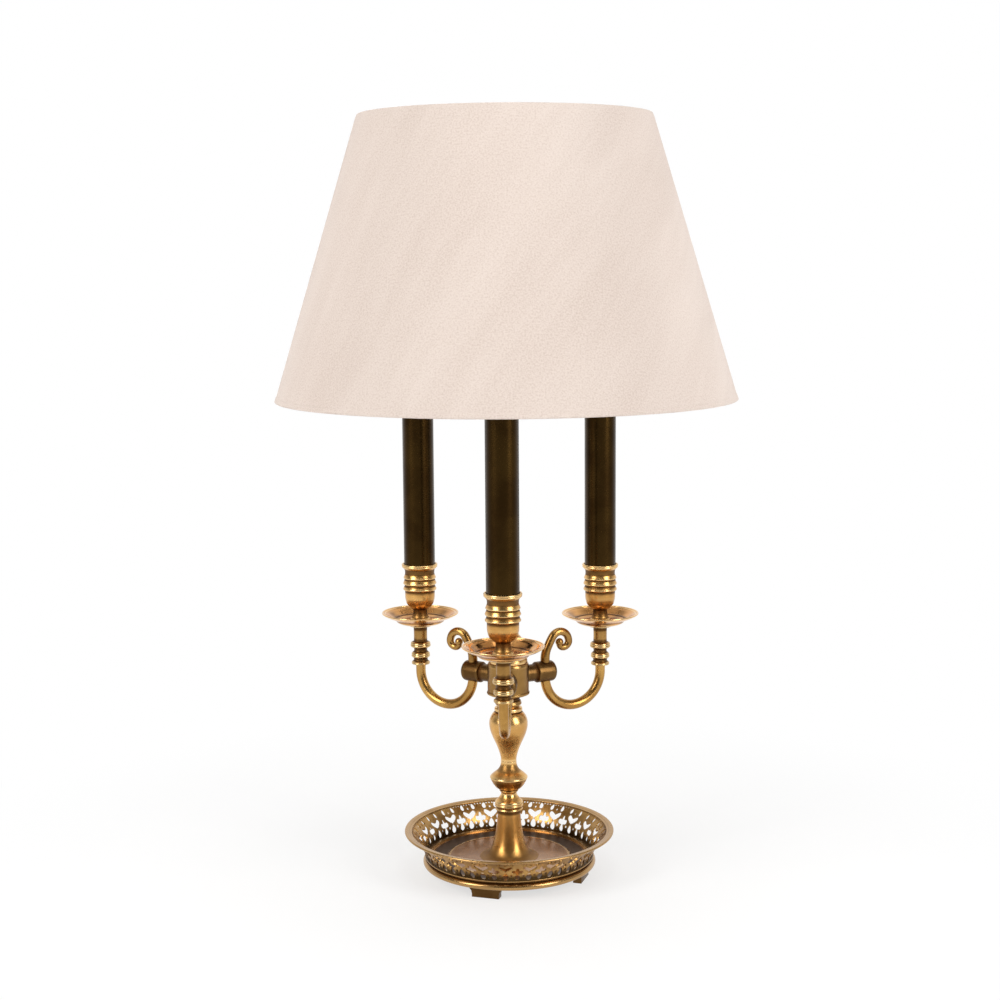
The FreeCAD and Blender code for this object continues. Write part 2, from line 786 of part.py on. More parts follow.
bulb_shares = [(0, 0), (0.4, 0), (0.46, 0.03), (0.62, 0.15), (0.86, 0.27), (1, 0.4), (0.97, 0.52), (0.78, 0.69),
               (0.48, 0.84), (0.2, 0.95), (0.08, 1), (0, 1)]
bulb_cap_shares = [(0, -1), (0.55, -1), (1, -0.84), (1, 0), (0, 0)]


def make_bulb_glass(number):
    points = scaled(bulb_shares, dim.bulb_radius, dim.bulb_rise, bulb_foot)
    turns = arm_turns[number:number + 1]
    return turn_flat(f"bulb_glass_{number + 1}", points, small_sides, dim.arm_reach, turns)


def make_bulb_cap(number):
    points = scaled(bulb_cap_shares, dim.bulb_cap_radius, dim.bulb_cap_rise, bulb_foot)
    turns = arm_turns[number:number + 1]
    return turn_flat(f"bulb_cap_{number + 1}", points, small_sides, dim.arm_reach, turns)


# Shade and its carrier

def make_shade_rod():
    return turn_flat("shade_rod", [(zero, rod_top), (dim.rod_radius, rod_top), (dim.rod_radius, carrier_foot),
                                   (dim.stud_radius, carrier_foot), (dim.stud_radius, stud_top), (zero, stud_top)],
                     column_sides)


def make_shade_carrier():
    inner = dim.stud_radius + dim.fit_gap
    return flat_ring("shade_carrier", inner, dim.carrier_radius, carrier_foot, dim.carrier_rise, column_sides)


def cone_shell(name, inset, skin):
    bottom = dim.shade_bottom_radius - inset
    top = dim.shade_top_radius - inset
    points = [(bottom - skin, dim.shade_foot), (bottom, dim.shade_foot), (top, shade_top), (top - skin, shade_top)]
    return turn_flat(name, points, shade_sides)


def make_shade_cover():
    return cone_shell("shade_cover", zero, dim.shade_skin)


def make_shade_lining():
    return cone_shell("shade_lining", lining_inset, dim.lining_skin)


def make_top_wire():
    return flat_ring("shade_top_wire", top_wire_radius - dim.wire_size, top_wire_radius, shade_top - wire_drop,
                     dim.wire_size, shade_sides)


def make_bottom_wire():
    return flat_ring("shade_bottom_wire", bottom_wire_radius - dim.wire_size, bottom_wire_radius,
                     dim.shade_foot + dim.wire_inset, dim.wire_size, shade_sides)


def make_spider():
    body = new_body("shade_spider")
    end = (top_wire_radius - dim.wire_size) * math.cos(math.pi / shade_sides) - dim.fit_gap
    lift = shade_top - wire_drop
    start = dim.carrier_radius - dim.spider_thickness
    sketch = new_sketch(body, "bar", "XZ_Plane")
    add_chain(sketch, [(start, spider_foot), (dim.spider_flat, spider_foot), (end, lift),
                       (end, lift + dim.spider_thickness), (dim.spider_flat, finial_foot), (start, finial_foot)])
    pad(body, sketch, dim.spider_width, midplane=True)
    around(body, dim.spider_count)
    inner = dim.stud_radius + dim.run_gap
    spin(body, [(inner, spider_foot), (dim.carrier_radius, spider_foot), (dim.carrier_radius, finial_foot),
                (inner, finial_foot)], "eye")
    return body


finial_shares = [(1, 0), (1, 0.12), (0.6, 0.2), (0.87, 0.42), (0.87, 0.55), (0.45, 0.8), (0.5, 0.88), (0.3, 1),
                 (0, 1)]


def make_finial():
    bore = dim.stud_radius + dim.run_gap
    bore_top = stud_top + dim.soft_gap
    outer = scaled(finial_shares, dim.finial_radius, dim.finial_rise, finial_foot)
    points = outer + [(zero, bore_top), (bore, bore_top), (bore, finial_foot)]
    return turn_flat("shade_finial", points, column_sides)


nodes = [make_foot(number) for number in range(int(dim.foot_count.value))]
nodes += [
    make_base_ring(),
    make_tray_floor(),
    make_gallery_band(),
    make_gallery_rim(),
    make_weight_ring(),
    make_base_washer(),
    make_base_nut(),
    make_through_rod(),
    make_cord_bushing(),
    turned_piece("column_trumpet", trumpet_shares, dim.trumpet_radius, dim.trumpet_rise, tray_top),
    turned_piece("column_knop", knop_shares, dim.knop_radius, dim.knop_rise, knop_foot),
    turned_piece("column_vase", vase_shares, dim.vase_radius, dim.vase_rise, vase_foot),
    turned_piece("arm_hub", hub_shares, dim.hub_radius, dim.hub_rise, hub_foot),
    turned_piece("hub_cap", cap_shares, dim.cap_radius, dim.cap_rise, hub_top),
    make_arm_bosses(),
    make_arm_tubes(),
    make_arm_scrolls(),
    make_arm_stems(),
    make_wax_pans(),
    make_candle_cups(),
    make_candle_nipples(),
    make_lampholders(),
]
for number in range(int(dim.arm_count.value)):
    nodes += [make_sleeve(number), make_bulb_cap(number), make_bulb_glass(number)]
nodes += [
    make_shade_rod(),
    make_shade_carrier(),
    make_spider(),
    make_top_wire(),
    make_bottom_wire(),
    make_shade_cover(),
    make_shade_lining(),
    make_finial(),
]

doc.recompute()
for item in doc.Objects:
    if "Invalid" in item.State or "Error" in item.State:
        raise RuntimeError(f"{item.Label} failed: {item.State}")
for node in nodes:
    if node.Shape.isNull() or not node.Shape.isValid():
        raise RuntimeError(f"{node.Label} has no valid shape")

os.makedirs("parts", exist_ok=True)
for node in nodes:
    node.Shape.exportStep(f"parts/{node.Label}.step")
    print(f"{node.Label}: {len(node.Shape.Solids)} solids, {node.Shape.Volume:.0f} mm3")
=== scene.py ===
import cmath
import math

import bmesh
import bpy
from mathutils import Matrix, Vector


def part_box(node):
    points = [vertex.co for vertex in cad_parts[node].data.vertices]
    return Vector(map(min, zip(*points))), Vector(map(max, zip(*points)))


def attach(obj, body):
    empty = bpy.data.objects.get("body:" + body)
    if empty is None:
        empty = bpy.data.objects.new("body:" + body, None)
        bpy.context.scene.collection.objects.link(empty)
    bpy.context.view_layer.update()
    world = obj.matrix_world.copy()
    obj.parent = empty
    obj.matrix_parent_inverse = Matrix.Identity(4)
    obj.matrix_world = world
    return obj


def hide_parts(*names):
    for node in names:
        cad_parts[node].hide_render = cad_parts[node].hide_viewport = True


# Three-light candle lamp in aged brass. Profiles are in millimetres, meshes in metres.
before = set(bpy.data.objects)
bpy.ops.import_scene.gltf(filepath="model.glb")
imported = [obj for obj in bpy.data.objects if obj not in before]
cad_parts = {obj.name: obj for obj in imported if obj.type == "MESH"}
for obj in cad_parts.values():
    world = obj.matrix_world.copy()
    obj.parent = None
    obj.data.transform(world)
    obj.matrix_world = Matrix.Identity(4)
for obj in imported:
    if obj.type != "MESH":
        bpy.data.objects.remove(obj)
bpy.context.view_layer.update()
mm = 0.001
armAngles = [math.radians(-90 + 120 * k) for k in range(3)]
sleeveLow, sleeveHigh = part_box("candle_sleeve_1")
armReach = -(sleeveLow.y + sleeveHigh.y) / 2 / mm
# what lies further from a candle's axis than this belongs to another arm
ownReach = 0.6 * armReach


def span(node, x=0.0, y=0.0):
    # radius of a turned piece about the upright line at x and y, its foot and its rise, in millimetres
    low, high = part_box(node)
    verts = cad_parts[node].data.vertices
    reaches = [math.hypot(vert.co.x / mm - x, vert.co.y / mm - y) for vert in verts]
    if x or y:
        reaches = [reach for reach in reaches if reach < ownReach]
    return max(reaches), low.z / mm, (high.z - low.z) / mm


def armSpan(node):
    # the same about a candle's axis, for pieces that stand on every arm
    return span(node, armReach * math.cos(armAngles[1]), armReach * math.sin(armAngles[1]))


def boxSpan(node):
    # half the width of a piece's box, its foot and its rise
    low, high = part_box(node)
    return (high.x - low.x) / 2 / mm, low.z / mm, (high.z - low.z) / mm


# shading helpers
class Signal:
    # wraps a socket, so that node maths reads as an expression
    def __init__(self, tree, socket):
        self.tree = tree
        self.socket = socket

    def maths(self, operation, *others):
        inputs = dict(enumerate([self, *others]))
        return self.tree.add("ShaderNodeMath", {"operation": operation}, inputs)

    def __add__(self, other):
        return self.maths("ADD", other)

    def __radd__(self, other):
        return self.maths("ADD", other)

    def __sub__(self, other):
        return self.maths("SUBTRACT", other)

    def __rsub__(self, other):
        return (self * -1).maths("ADD", other)

    def __mul__(self, other):
        return self.maths("MULTIPLY", other)

    def __rmul__(self, other):
        return self.maths("MULTIPLY", other)

    def ramp(self, low, high):
        # 0 below low, 1 above high, soft between
        settings = {"interpolation_type": "SMOOTHSTEP"}
        return self.tree.add("ShaderNodeMapRange", settings, {"Value": self, "From Min": low, "From Max": high})


class NodeTree:
    # a tree and the few ways in which its nodes are made
    def __init__(self, tree):
        self.tree = tree

    def add(self, kind, settings=None, inputs=None, output=0):
        node = self.tree.nodes.new(kind)
        for key, value in (settings or {}).items():
            setattr(node, key, value)
        for key, value in (inputs or {}).items():
            self.feed(node.inputs[key], value)
        return Signal(self, node.outputs[output])

    def feed(self, socket, value):
        if isinstance(value, Signal):
            self.tree.links.new(value.socket, socket)
        elif isinstance(value, tuple) and len(value) == 3 and socket.type == "RGBA":
            socket.default_value = (*value, 1)
        else:
            socket.default_value = value

    def where(self):
        return self.add("ShaderNodeTexCoord", output="Object")

    def uv(self):
        return self.add("ShaderNodeTexCoord", output="UV")

    def mark(self, name):
        # a value kept on the vertices of a piece
        return self.add("ShaderNodeAttribute", {"attribute_name": name}, output="Fac")

    def placed(self, vector, scale=(1, 1, 1), turn=(0, 0, 0)):
        return self.add("ShaderNodeMapping", {}, {"Vector": vector, "Scale": scale, "Rotation": turn})

    def noise(self, vector, scale, detail=3.0, roughness=0.5, distortion=0.0):
        inputs = {"Vector": vector, "Scale": scale, "Detail": detail, "Roughness": roughness,
                  "Distortion": distortion}
        return self.add("ShaderNodeTexNoise", {}, inputs)

    def blend(self, share, first, second):
        # the mix node's colour sockets are reached by their places, since their names repeat
        return self.add("ShaderNodeMix", {"data_type": "RGBA"}, {0: share, 6: first, 7: second}, output=2)


class Finish(NodeTree):
    # one material, with what its surface is fed
    def __init__(self, name):
        self.material = bpy.data.materials.new(name)
        self.material.use_nodes = True
        super().__init__(self.material.node_tree)
        self.surface = self.tree.nodes["Principled BSDF"]

    def relief(self, height, strength, distance):
        bump = self.add("ShaderNodeBump", {}, {"Height": height, "Strength": strength, "Distance": distance})
        self.set("Normal", bump)

    def set(self, socket, value):
        self.feed(self.surface.inputs[socket], value)


# linear colours; turning is the share of the turning marks in the relief
brassLook = {
    "light": (0.83, 0.475, 0.155),
    "dark": (0.55, 0.285, 0.08),
    "deep": (0.085, 0.034, 0.009),
    "worn": (0.92, 0.67, 0.33),
    "roughness": 0.28,
    "turning": 0.35,
}
panLook = dict(brassLook, light=(0.86, 0.46, 0.17), dark=(0.66, 0.30, 0.09), roughness=0.13, turning=0.6)
trayLook = dict(brassLook, light=(0.42, 0.225, 0.10), dark=(0.24, 0.112, 0.045), deep=(0.035, 0.017, 0.007),
                roughness=0.2, turning=0.8)
bossLook = dict(brassLook, light=(0.17, 0.092, 0.03), dark=(0.095, 0.046, 0.014), worn=(0.19, 0.105, 0.034),
                roughness=0.34, turning=0.2)
hubLook = dict(brassLook, light=(0.37, 0.21, 0.066), dark=(0.23, 0.12, 0.035), worn=(0.5, 0.3, 0.11), roughness=0.3)
tubeLook = dict(brassLook, light=(0.62, 0.36, 0.105), dark=(0.40, 0.21, 0.055), turning=0.0)
stemLook = dict(brassLook, light=(0.47, 0.265, 0.08), dark=(0.28, 0.145, 0.04))
ringLook = dict(brassLook, light=(0.42, 0.24, 0.085), dark=(0.26, 0.135, 0.044), worn=(0.58, 0.36, 0.15))
galleryLook = dict(brassLook, light=(0.60, 0.35, 0.115), dark=(0.26, 0.135, 0.04), deep=(0.02, 0.009, 0.003),
                   roughness=0.33, turning=0.0)
sleeveLook = dict(brassLook, light=(0.05, 0.027, 0.007), dark=(0.028, 0.014, 0.004), deep=(0.02, 0.01, 0.003),
                  worn=(0.2, 0.12, 0.03), turning=0.1)


def agedBrass(name, look):
    # cloudy metal, tarnished in its grooves and rubbed on its edges, darkened by painted shade and painted reflection
    # where a piece marks them; noise is in waves to the metre
    finish = Finish(name)
    where = finish.where()
    groove = finish.mark("groove")
    cloud = finish.noise(where, 34, 4, 0.55).ramp(0.34, 0.68)
    fleck = finish.noise(where, 380, 3, 0.6).ramp(0.35, 0.75)
    colour = finish.blend(cloud * 0.8 + fleck * 0.14, look["dark"], look["light"])
    # tarnish in the grooves, plus painted shade that the gallery, the tray's moat and the trumpet's foot put on their
    # groove marks
    tarnishAndShade = (groove * 2.2 + (finish.noise(where, 130, 2) - 0.5) * 0.16).ramp(0.08, 0.8)
    worn = (groove * -2.4).ramp(0.1, 0.95)
    colour = finish.blend(tarnishAndShade * 0.86, colour, look["deep"])
    # painted reflection: dark fans in the wax pans' dishes
    colour = finish.blend(finish.mark("fan") * (fleck * 0.3 + 0.7), colour, look["deep"])
    colour = finish.blend(worn * 0.5, colour, look["worn"])
    finish.set("Base Color", colour)
    finish.set("Metallic", 1.0)
    finish.set("Roughness", fleck * 0.04 + tarnishAndShade * 0.22 - cloud * 0.03 + look["roughness"])
    # turning marks follow the outline of each turned piece, in waves to the millimetre
    rings = finish.noise(finish.mark("ring"), 2.6, 3, 0.6)
    waves = finish.noise(where, 55, 2)
    finish.relief(rings * look["turning"] + waves * 1.2, 0.05, 0.0003)
    return finish.material


def shadeFabric():
    # suede cloth: its nap is brushed at a slant in the lie of the cut
    finish = Finish("suedeFabric")
    cloth = finish.uv()
    grain = finish.noise(cloth, 760, 3, 0.7)
    slant = finish.placed(cloth, turn=(0, 0, math.radians(33)))
    nap = finish.noise(finish.placed(slant, (21, 4.2, 1)), 1, 4, 0.55, 0.25).ramp(0.3, 0.7)
    brushed = finish.noise(finish.placed(slant, (120, 17, 1)), 1, 3, 0.6, 0.2).ramp(0.35, 0.7)
    # broad soft patches, lighter and darker at random over the cloth
    broadPatches = finish.noise(finish.placed(cloth, (5, 5, 1)), 1, 2, 0.5).ramp(0.3, 0.7)
    tone = nap * 0.45 + brushed * 0.17 + broadPatches * 0.38
    colour = finish.blend(tone, (0.585, 0.485, 0.430), (0.705, 0.612, 0.556))
    colour = finish.blend(grain.ramp(0.35, 0.65) * 0.6, colour, (0.765, 0.68, 0.626))
    colour = finish.blend((0.5 - grain).ramp(0.0, 0.2) * 0.45, colour, (0.55, 0.442, 0.388))
    finish.set("Base Color", colour)
    finish.set("Roughness", 0.94 - nap * 0.08)
    finish.set("Sheen Weight", 0.15)
    finish.set("Sheen Roughness", 0.45)
    finish.set("Specular IOR Level", 0.12)
    finish.relief(grain + brushed * 0.3, 0.35, 0.0005)
    return finish.material


def plainFinish(name, light, dark, roughness, metallic=0.0, scale=90.0, bump=0.1):
    finish = Finish(name)
    where = finish.where()
    cloud = finish.noise(where, scale, 4, 0.6).ramp(0.35, 0.65)
    speck = finish.noise(where, scale * 9, 3, 0.6)
    finish.set("Base Color", finish.blend(cloud * 0.7 + speck * 0.3, dark, light))
    finish.set("Metallic", metallic)
    finish.set("Roughness", speck * 0.12 + roughness)
    finish.relief(speck, bump, 0.0003)
    return finish.material


def opalGlass():
    finish = Finish("opalGlass")
    cloud = finish.noise(finish.where(), 30, 3).ramp(0.3, 0.7)
    finish.set("Base Color", finish.blend(cloud, (0.86, 0.84, 0.80), (0.93, 0.92, 0.89)))
    finish.set("Roughness", cloud * 0.05 + 0.12)
    finish.set("Subsurface Weight", 0.3)
    finish.set("Subsurface Radius", (0.004, 0.004, 0.004))
    finish.set("Coat Weight", 0.4)
    return finish.material


finishes = {
    "brass": agedBrass("agedBrass", brassLook),
    "pan": agedBrass("copperyBrass", panLook),
    "tray": agedBrass("trayBrass", trayLook),
    "gallery": agedBrass("galleryBrass", galleryLook),
    "boss": agedBrass("brownBrass", bossLook),
    "hub": agedBrass("hubBrass", hubLook),
    "stem": agedBrass("stemBrass", stemLook),
    "tube": agedBrass("tubeBrass", tubeLook),
    "ring": agedBrass("ringBrass", ringLook),
    "sleeve": agedBrass("darkBronze", sleeveLook),
    "fabric": shadeFabric(),
    "lining": plainFinish("whiteLining", (0.86, 0.85, 0.83), (0.80, 0.79, 0.77), 0.75, scale=25),
    "wire": plainFinish("whiteWire", (0.82, 0.81, 0.79), (0.70, 0.69, 0.66), 0.4, scale=70),
    "steel": plainFinish("zincSteel", (0.55, 0.55, 0.56), (0.40, 0.40, 0.41), 0.35, 1.0),
    "iron": plainFinish("castIron", (0.09, 0.09, 0.09), (0.045, 0.043, 0.04), 0.6, 0.6, bump=0.5),
    "holder": plainFinish("ivoryPlastic", (0.78, 0.73, 0.62), (0.70, 0.65, 0.54), 0.45),
    "bushing": plainFinish("blackPlastic", (0.03, 0.03, 0.03), (0.018, 0.018, 0.018), 0.5),
    "cap": plainFinish("aluminiumCap", (0.72, 0.72, 0.72), (0.58, 0.58, 0.58), 0.3, 1.0),
    "glass": opalGlass(),
}
print("finishes ready")


# outline helpers; a point is a complex number, radius + height j
drawing = {
    # degrees to one step of an arc, steps between two points of a smooth run
    "arcStep": 11,
    "runSteps": 8,
    # corners flatter than this angle aren't eased
    "flattest": 150,
    # millimetres: longest step of an outline, and how far round a point its groove is felt
    "longest": 1.3,
    "reaches": (1.2, 3.5),
    # metres within which points are one
    "weld": 1e-7,
}


def bow(start, end, bulge):
    # arc that bulges to the right of the way; bulge is the tangent of a quarter of its turn
    turn = 4 * math.atan(bulge)
    centre = (start + end) / 2 + 1j * (end - start) * (1 - bulge**2) / (4 * bulge)
    count = max(3, math.ceil(abs(turn) / math.radians(drawing["arcStep"])))
    return [centre + (start - centre) * cmath.exp(1j * turn * i / count) for i in range(1, count + 1)]


def flow(points):
    # smooth run through all the points
    ends = [2 * points[0] - points[1]] + points + [2 * points[-1] - points[-2]]
    steps = drawing["runSteps"]
    run = []
    for before, start, end, after in zip(ends, ends[1:], ends[2:], ends[3:]):
        leave, arrive = (end - before) / 2, (after - start) / 2
        for i in range(1, steps + 1):
            t = i / steps
            run.append(start * (1 + 2 * t) * (1 - t) ** 2 + leave * t * (1 - t) ** 2
                       + end * t * t * (3 - 2 * t) - arrive * t * t * (1 - t))
    return run


def outline(shares, radius=1.0, rise=1.0, foot=0.0):
    # shares hold corners (across, up), arcs (across, up, bulge) and lists of points to flow through
    def place(share):
        return complex(share[0] * radius, foot + share[1] * rise)

    points = []
    for share in shares:
        if isinstance(share, list):
            points += flow(points[-1:] + [place(item) for item in share])
        elif len(share) == 3:
            points += bow(points[-1], place(share), share[2])
        else:
            points.append(place(share))
    return points


def grooves(points, closed):
    # how far each point of an outline lies inside or proud of its surroundings
    def along(index, way, reach):
        here = points[index]
        while reach > 0:
            after = index + way
            if closed:
                after %= len(points)
            elif not 0 <= after < len(points):
                return here
            step = abs(points[after] - here)
            if step >= reach:
                return here + (points[after] - here) * reach / step
            reach -= step
            here, index = points[after], after
        return here

    marks = []
    for index, here in enumerate(points):
        mark = 0
        for reach in drawing["reaches"]:
            back, ahead = along(index, -1, reach), along(index, 1, reach)
            way = ahead - back
            if abs(way) > 0:
                outwards = -1j * way / abs(way)
                mark += (((back + ahead) / 2 - here) * outwards.conjugate()).real / reach
        marks.append(mark)
    return marks


def turned(points, closed=False, sides=96, ease=0.25, across=0.0):
    # spins an outline about the upright line at across, with its corners eased
    bm = bmesh.new()
    verts = [bm.verts.new((point.real * mm, 0, point.imag * mm)) for point in points]
    pairs = list(zip(verts, verts[1:])) + ([(verts[-1], verts[0])] if closed else [])
    for pair in pairs:
        if (pair[0].co - pair[1].co).length > 0:
            bm.edges.new(pair)
    corners = []
    for vert in verts:
        if len(vert.link_edges) == 2 and vert.co.x > 0:
            ways = [(edge.other_vert(vert).co - vert.co).normalized() for edge in vert.link_edges]
            if ways[0].dot(ways[1]) > math.cos(math.radians(drawing["flattest"])):
                corners.append(vert)
    if ease and corners:
        bmesh.ops.bevel(bm, geom=corners, offset=ease * mm, offset_type="OFFSET", segments=3, profile=0.5,
                        affect="VERTICES", clamp_overlap=True, material=-1)
    for cuts in (7, 3, 1):
        longest = drawing["longest"] * mm * (cuts + 1) / 2
        longEdges = [edge for edge in bm.edges if edge.calc_length() > longest]
        if longEdges:
            bmesh.ops.subdivide_edges(bm, edges=longEdges, cuts=cuts)
    markGrooves(bm, closed)
    bmesh.ops.spin(bm, geom=bm.verts[:] + bm.edges[:], cent=(0, 0, 0), axis=(0, 0, 1), dvec=(0, 0, 0),
                   angle=2 * math.pi, steps=sides, use_merge=True, use_duplicate=False)
    bmesh.ops.remove_doubles(bm, verts=bm.verts[:], dist=drawing["weld"])
    bmesh.ops.recalc_face_normals(bm, faces=bm.faces[:])
    bmesh.ops.translate(bm, verts=bm.verts[:], vec=(across * mm, 0, 0))
    return bm


def markGrooves(bm, closed):
    # walks the outline from its start and keeps each point's groove and way on the vertex
    grooveLayer = bm.verts.layers.float.new("groove")
    ringLayer = bm.verts.layers.float.new("ring")
    bm.verts.ensure_lookup_table()
    ends = [vert for vert in bm.verts if len(vert.link_edges) == 1]
    start = bm.verts[0] if closed else min(ends, key=lambda vert: vert.co.z)
    chain, edge = [start], None
    while True:
        ahead = [item for item in chain[-1].link_edges if item is not edge]
        if not ahead:
            break
        edge = ahead[0]
        following = edge.other_vert(chain[-1])
        if following is start:
            break
        chain.append(following)
    points = [complex(vert.co.x, vert.co.z) / mm for vert in chain]
    area = sum((a.real * b.imag - b.real * a.imag) for a, b in zip(points, points[1:] + points[:1]))
    if area < 0:
        points.reverse()
        chain.reverse()
    length = 0
    for vert, mark, here, before in zip(chain, grooves(points, closed), points, points[:1] + points):
        length += abs(here - before)
        vert[grooveLayer] = mark
        vert[ringLayer] = length


def vertsOf(geom):
    return [item for item in geom if isinstance(item, bmesh.types.BMVert)]


def edgesOf(geom):
    return [item for item in geom if isinstance(item, bmesh.types.BMEdge)]


def swing(bm, verts, angle, axis="Z"):
    bmesh.ops.rotate(bm, verts=verts, cent=(0, 0, 0), matrix=Matrix.Rotation(angle, 3, axis))


def repeat(bm, angles):
    # adds a copy of what is there at each angle, and gives back the first one's vertices
    first = bm.verts[:] + bm.edges[:] + bm.faces[:]
    for angle in angles:
        swing(bm, vertsOf(bmesh.ops.duplicate(bm, geom=first)["geom"]), angle)
    return vertsOf(first)


def aboutArms(bm):
    # turns a piece made on the arm along +X to the three arms
    swing(bm, repeat(bm, armAngles[1:]), armAngles[0])
    return bm


def piece(name, bm, finish, body, nodes, sharp=38):
    mesh = bpy.data.meshes.new(name)
    bm.to_mesh(mesh)
    bm.free()
    for polygon in mesh.polygons:
        polygon.use_smooth = True
    mesh.set_sharp_from_angle(angle=math.radians(sharp))
    mesh.materials.append(finishes[finish])
    made = bpy.data.objects.new(name, mesh)
    bpy.context.scene.collection.objects.link(made)
    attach(made, body)
    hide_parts(*nodes)
    return made


# base
baseRing = {
    "node": "base_ring",
    "outline": [(0.80, 0), (0.93, 0), (0.95, 0.04), (0.985, 0.10, 0.1), (1.0, 0.36, 0.28), (0.985, 0.62, 0.28),
                (0.966, 0.70), (0.955, 0.75, -0.3), (0.955, 0.80), (0.97, 0.86), (0.978, 0.93, 0.3), (0.978, 1.0),
                (0.9104, 1.0), (0.9104, 0.5625), (0.80, 0.5625)],
}


def makeBaseRing():
    radius, foot, rise = span(baseRing["node"])
    points = outline(baseRing["outline"], radius, rise, foot)
    piece("baseRing", turned(points, closed=True, sides=160), "ring", "lamp", [baseRing["node"]])


trayFloor = {
    "node": "tray_floor",
    "stepRadius": 50.0,
    "relief": 0.5,
    # across from the step and up from the floor, in reliefs: the moat, then the round edge of the step
    "step": [(8, -0.7), (2, -0.6), (-1, 0.5), (-4, 0.6), (-9, 0.1)],
    # painted shade in the moat: millimetres until it is full, what it adds there, and the most that it may add
    "paintedShade": {"run": 6, "full": 0.45, "most": 0.5},
}


def makeTrayFloor():
    radius, foot, rise = span(trayFloor["node"])
    step, relief, top = trayFloor["stepRadius"], trayFloor["relief"], foot + rise - trayFloor["relief"]
    points = [complex(0, foot), complex(radius, foot), complex(radius, top + relief),
              complex(radius - 2 * relief, top + relief)]
    points += flow([complex(radius - 3 * relief, top + relief * 0.9)]
                   + [complex(step + across * relief, top + relief * up) for across, up in trayFloor["step"]]
                   + [complex(step * 0.5, top)])
    points.append(complex(0, top))
    bm = turned(points, sides=160, ease=0)
    paintedShade = trayFloor["paintedShade"]
    layer = bm.verts.layers.float["groove"]
    # painted shade: the moat outside the step is darkened on its groove marks
    for vert in bm.verts:
        out = (math.hypot(vert.co.x, vert.co.y) / mm - step) / paintedShade["run"]
        vert[layer] += min(paintedShade["most"], max(0, paintedShade["full"] * out))
    piece("trayFloor", bm, "tray", "lamp", [trayFloor["node"]])


feet = {
    "count": 4,
    "turn": -105,
    # millimetres; it starts so far from the lamp's axis
    "width": 26.0,
    "start": 57.0,
    "depth": 7.0,
    "ease": 0.45,
    # half of the bracket's front, from the ring's underside round the ogee to the middle of its sole
    "half": [(0.5, 1.0), (0.5, 0.86), (0.46, 0.70, -0.2), (0.44, 0.52, 0.15), (0.425, 0.40, -0.3), (0.43, 0.0)],
}


def makeFeet():
    nodes = [f"foot_{k + 1}" for k in range(feet["count"])]
    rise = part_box(nodes[0])[1].z / mm
    half = outline(feet["half"], feet["width"], rise)
    corners = half + [complex(-point.real, point.imag) for point in reversed(half)]
    for k, node in enumerate(nodes):
        bm = bmesh.new()
        verts = [bm.verts.new((feet["start"] * mm, point.real * mm, point.imag * mm)) for point in corners]
        grown = bmesh.ops.extrude_face_region(bm, geom=[bm.faces.new(verts)])["geom"]
        bmesh.ops.translate(bm, verts=vertsOf(grown), vec=(feet["depth"] * mm, 0, 0))
        bmesh.ops.recalc_face_normals(bm, faces=bm.faces[:])
        rims = [edge for edge in bm.edges if edge.calc_face_angle(0) > math.radians(40)]
        bmesh.ops.bevel(bm, geom=rims, offset=feet["ease"] * mm, offset_type="OFFSET", segments=3, profile=0.5,
                        affect="EDGES", clamp_overlap=True, material=-1)
        swing(bm, bm.verts[:], math.radians(feet["turn"] + 360 / feet["count"] * k))
        piece(f"bracketFoot{k + 1}", bm, "boss", "lamp", [node])


# pierced gallery: one repeat is drawn flat, bent round and repeated
gallery = {
    "node": "gallery_band",
    "units": 24,
    "footRadius": 68.7,
    "thickness": 1.4,
    "flarePower": 1.8,
    "softEdge": 0.38,
    "corners": {"pear": 30, "tulip": 56, "club": 60, "tear": 22, "hole": 14, "seed": 12, "dot": 10},
    # a repeat is cut into this many bends round and rows up, the bends moved clear of the cut-outs' corners
    "bends": 5,
    "bendShift": 3,
    "rows": 6,
    # painted shade along the foot and under the rim: its most, and the millimetres over which it would fade by 1
    "footPaintedShade": (0.55, 13),
    "rimPaintedShade": (0.25, 6),
    # circles (across, up, radius) whose union is one cut-out, about its own middle
    "pear": [(0, 0, 2.6), (0, 1.5, 2.05), (0, 2.7, 1.25), (0, 3.6, 0.55)],
    "tulip": [(4.3, 2.1, 1.6), (-4.3, 2.1, 1.6), (3.0, 1.3, 1.9), (-3.0, 1.3, 1.9), (1.6, 0.4, 2.0), (-1.6, 0.4, 2.0),
              (0, -0.5, 1.8), (0, -2.0, 0.8)],
    "club": [(0, 3.3, 1.25), (0, 1.6, 1.7), (3.1, 0.3, 1.8), (-3.1, 0.3, 1.8), (1.5, 0, 1.7), (-1.5, 0, 1.7),
             (0, -2.0, 1.3), (0, -4.6, 2.5)],
    "tear": [(0, 0, 1.7), (0.3, 1.0, 1.2), (0.6, 1.8, 0.6)],
    "pearUp": 3.15,
    "tulipUp": 10.2,
    "clubUp": 7.9,
    "tearAt": (4.9, 16.15),
    # round holes beside the pear: across, up, radius
    "holes": [(4.75, 5.0, 1.15), (4.8, 1.5, 0.55)],
    "dots": {"up": 18.0, "across": 2.4, "radius": 0.68},
    "seed": (15.4, 0.85),
    # line between two repeats that passes clear of every cut-out
    "seam": [(3.05, 0), (3.05, 6.2), (3.75, 7.9), (4.75, 9.3), (6.2, 10.4), (7.1, 12.2), (7.1, 16.2), (6.3, 17.6),
             (6.2, 19.0)],
}


def roundLoop(centre, circles, count):
    # outline of a union of circles, seen from its middle
    loop = []
    for i in range(count):
        angle = 2 * math.pi * (i + 0.5) / count
        reach = 0.2
        for across, up, radius in circles:
            far, off = math.hypot(across, up), angle - math.atan2(up, across)
            inside = radius**2 - (far * math.sin(off)) ** 2
            if inside > 0:
                reach = max(reach, far * math.cos(off) + math.sqrt(inside))
        loop.append(centre + cmath.rect(reach, angle))
    return loop


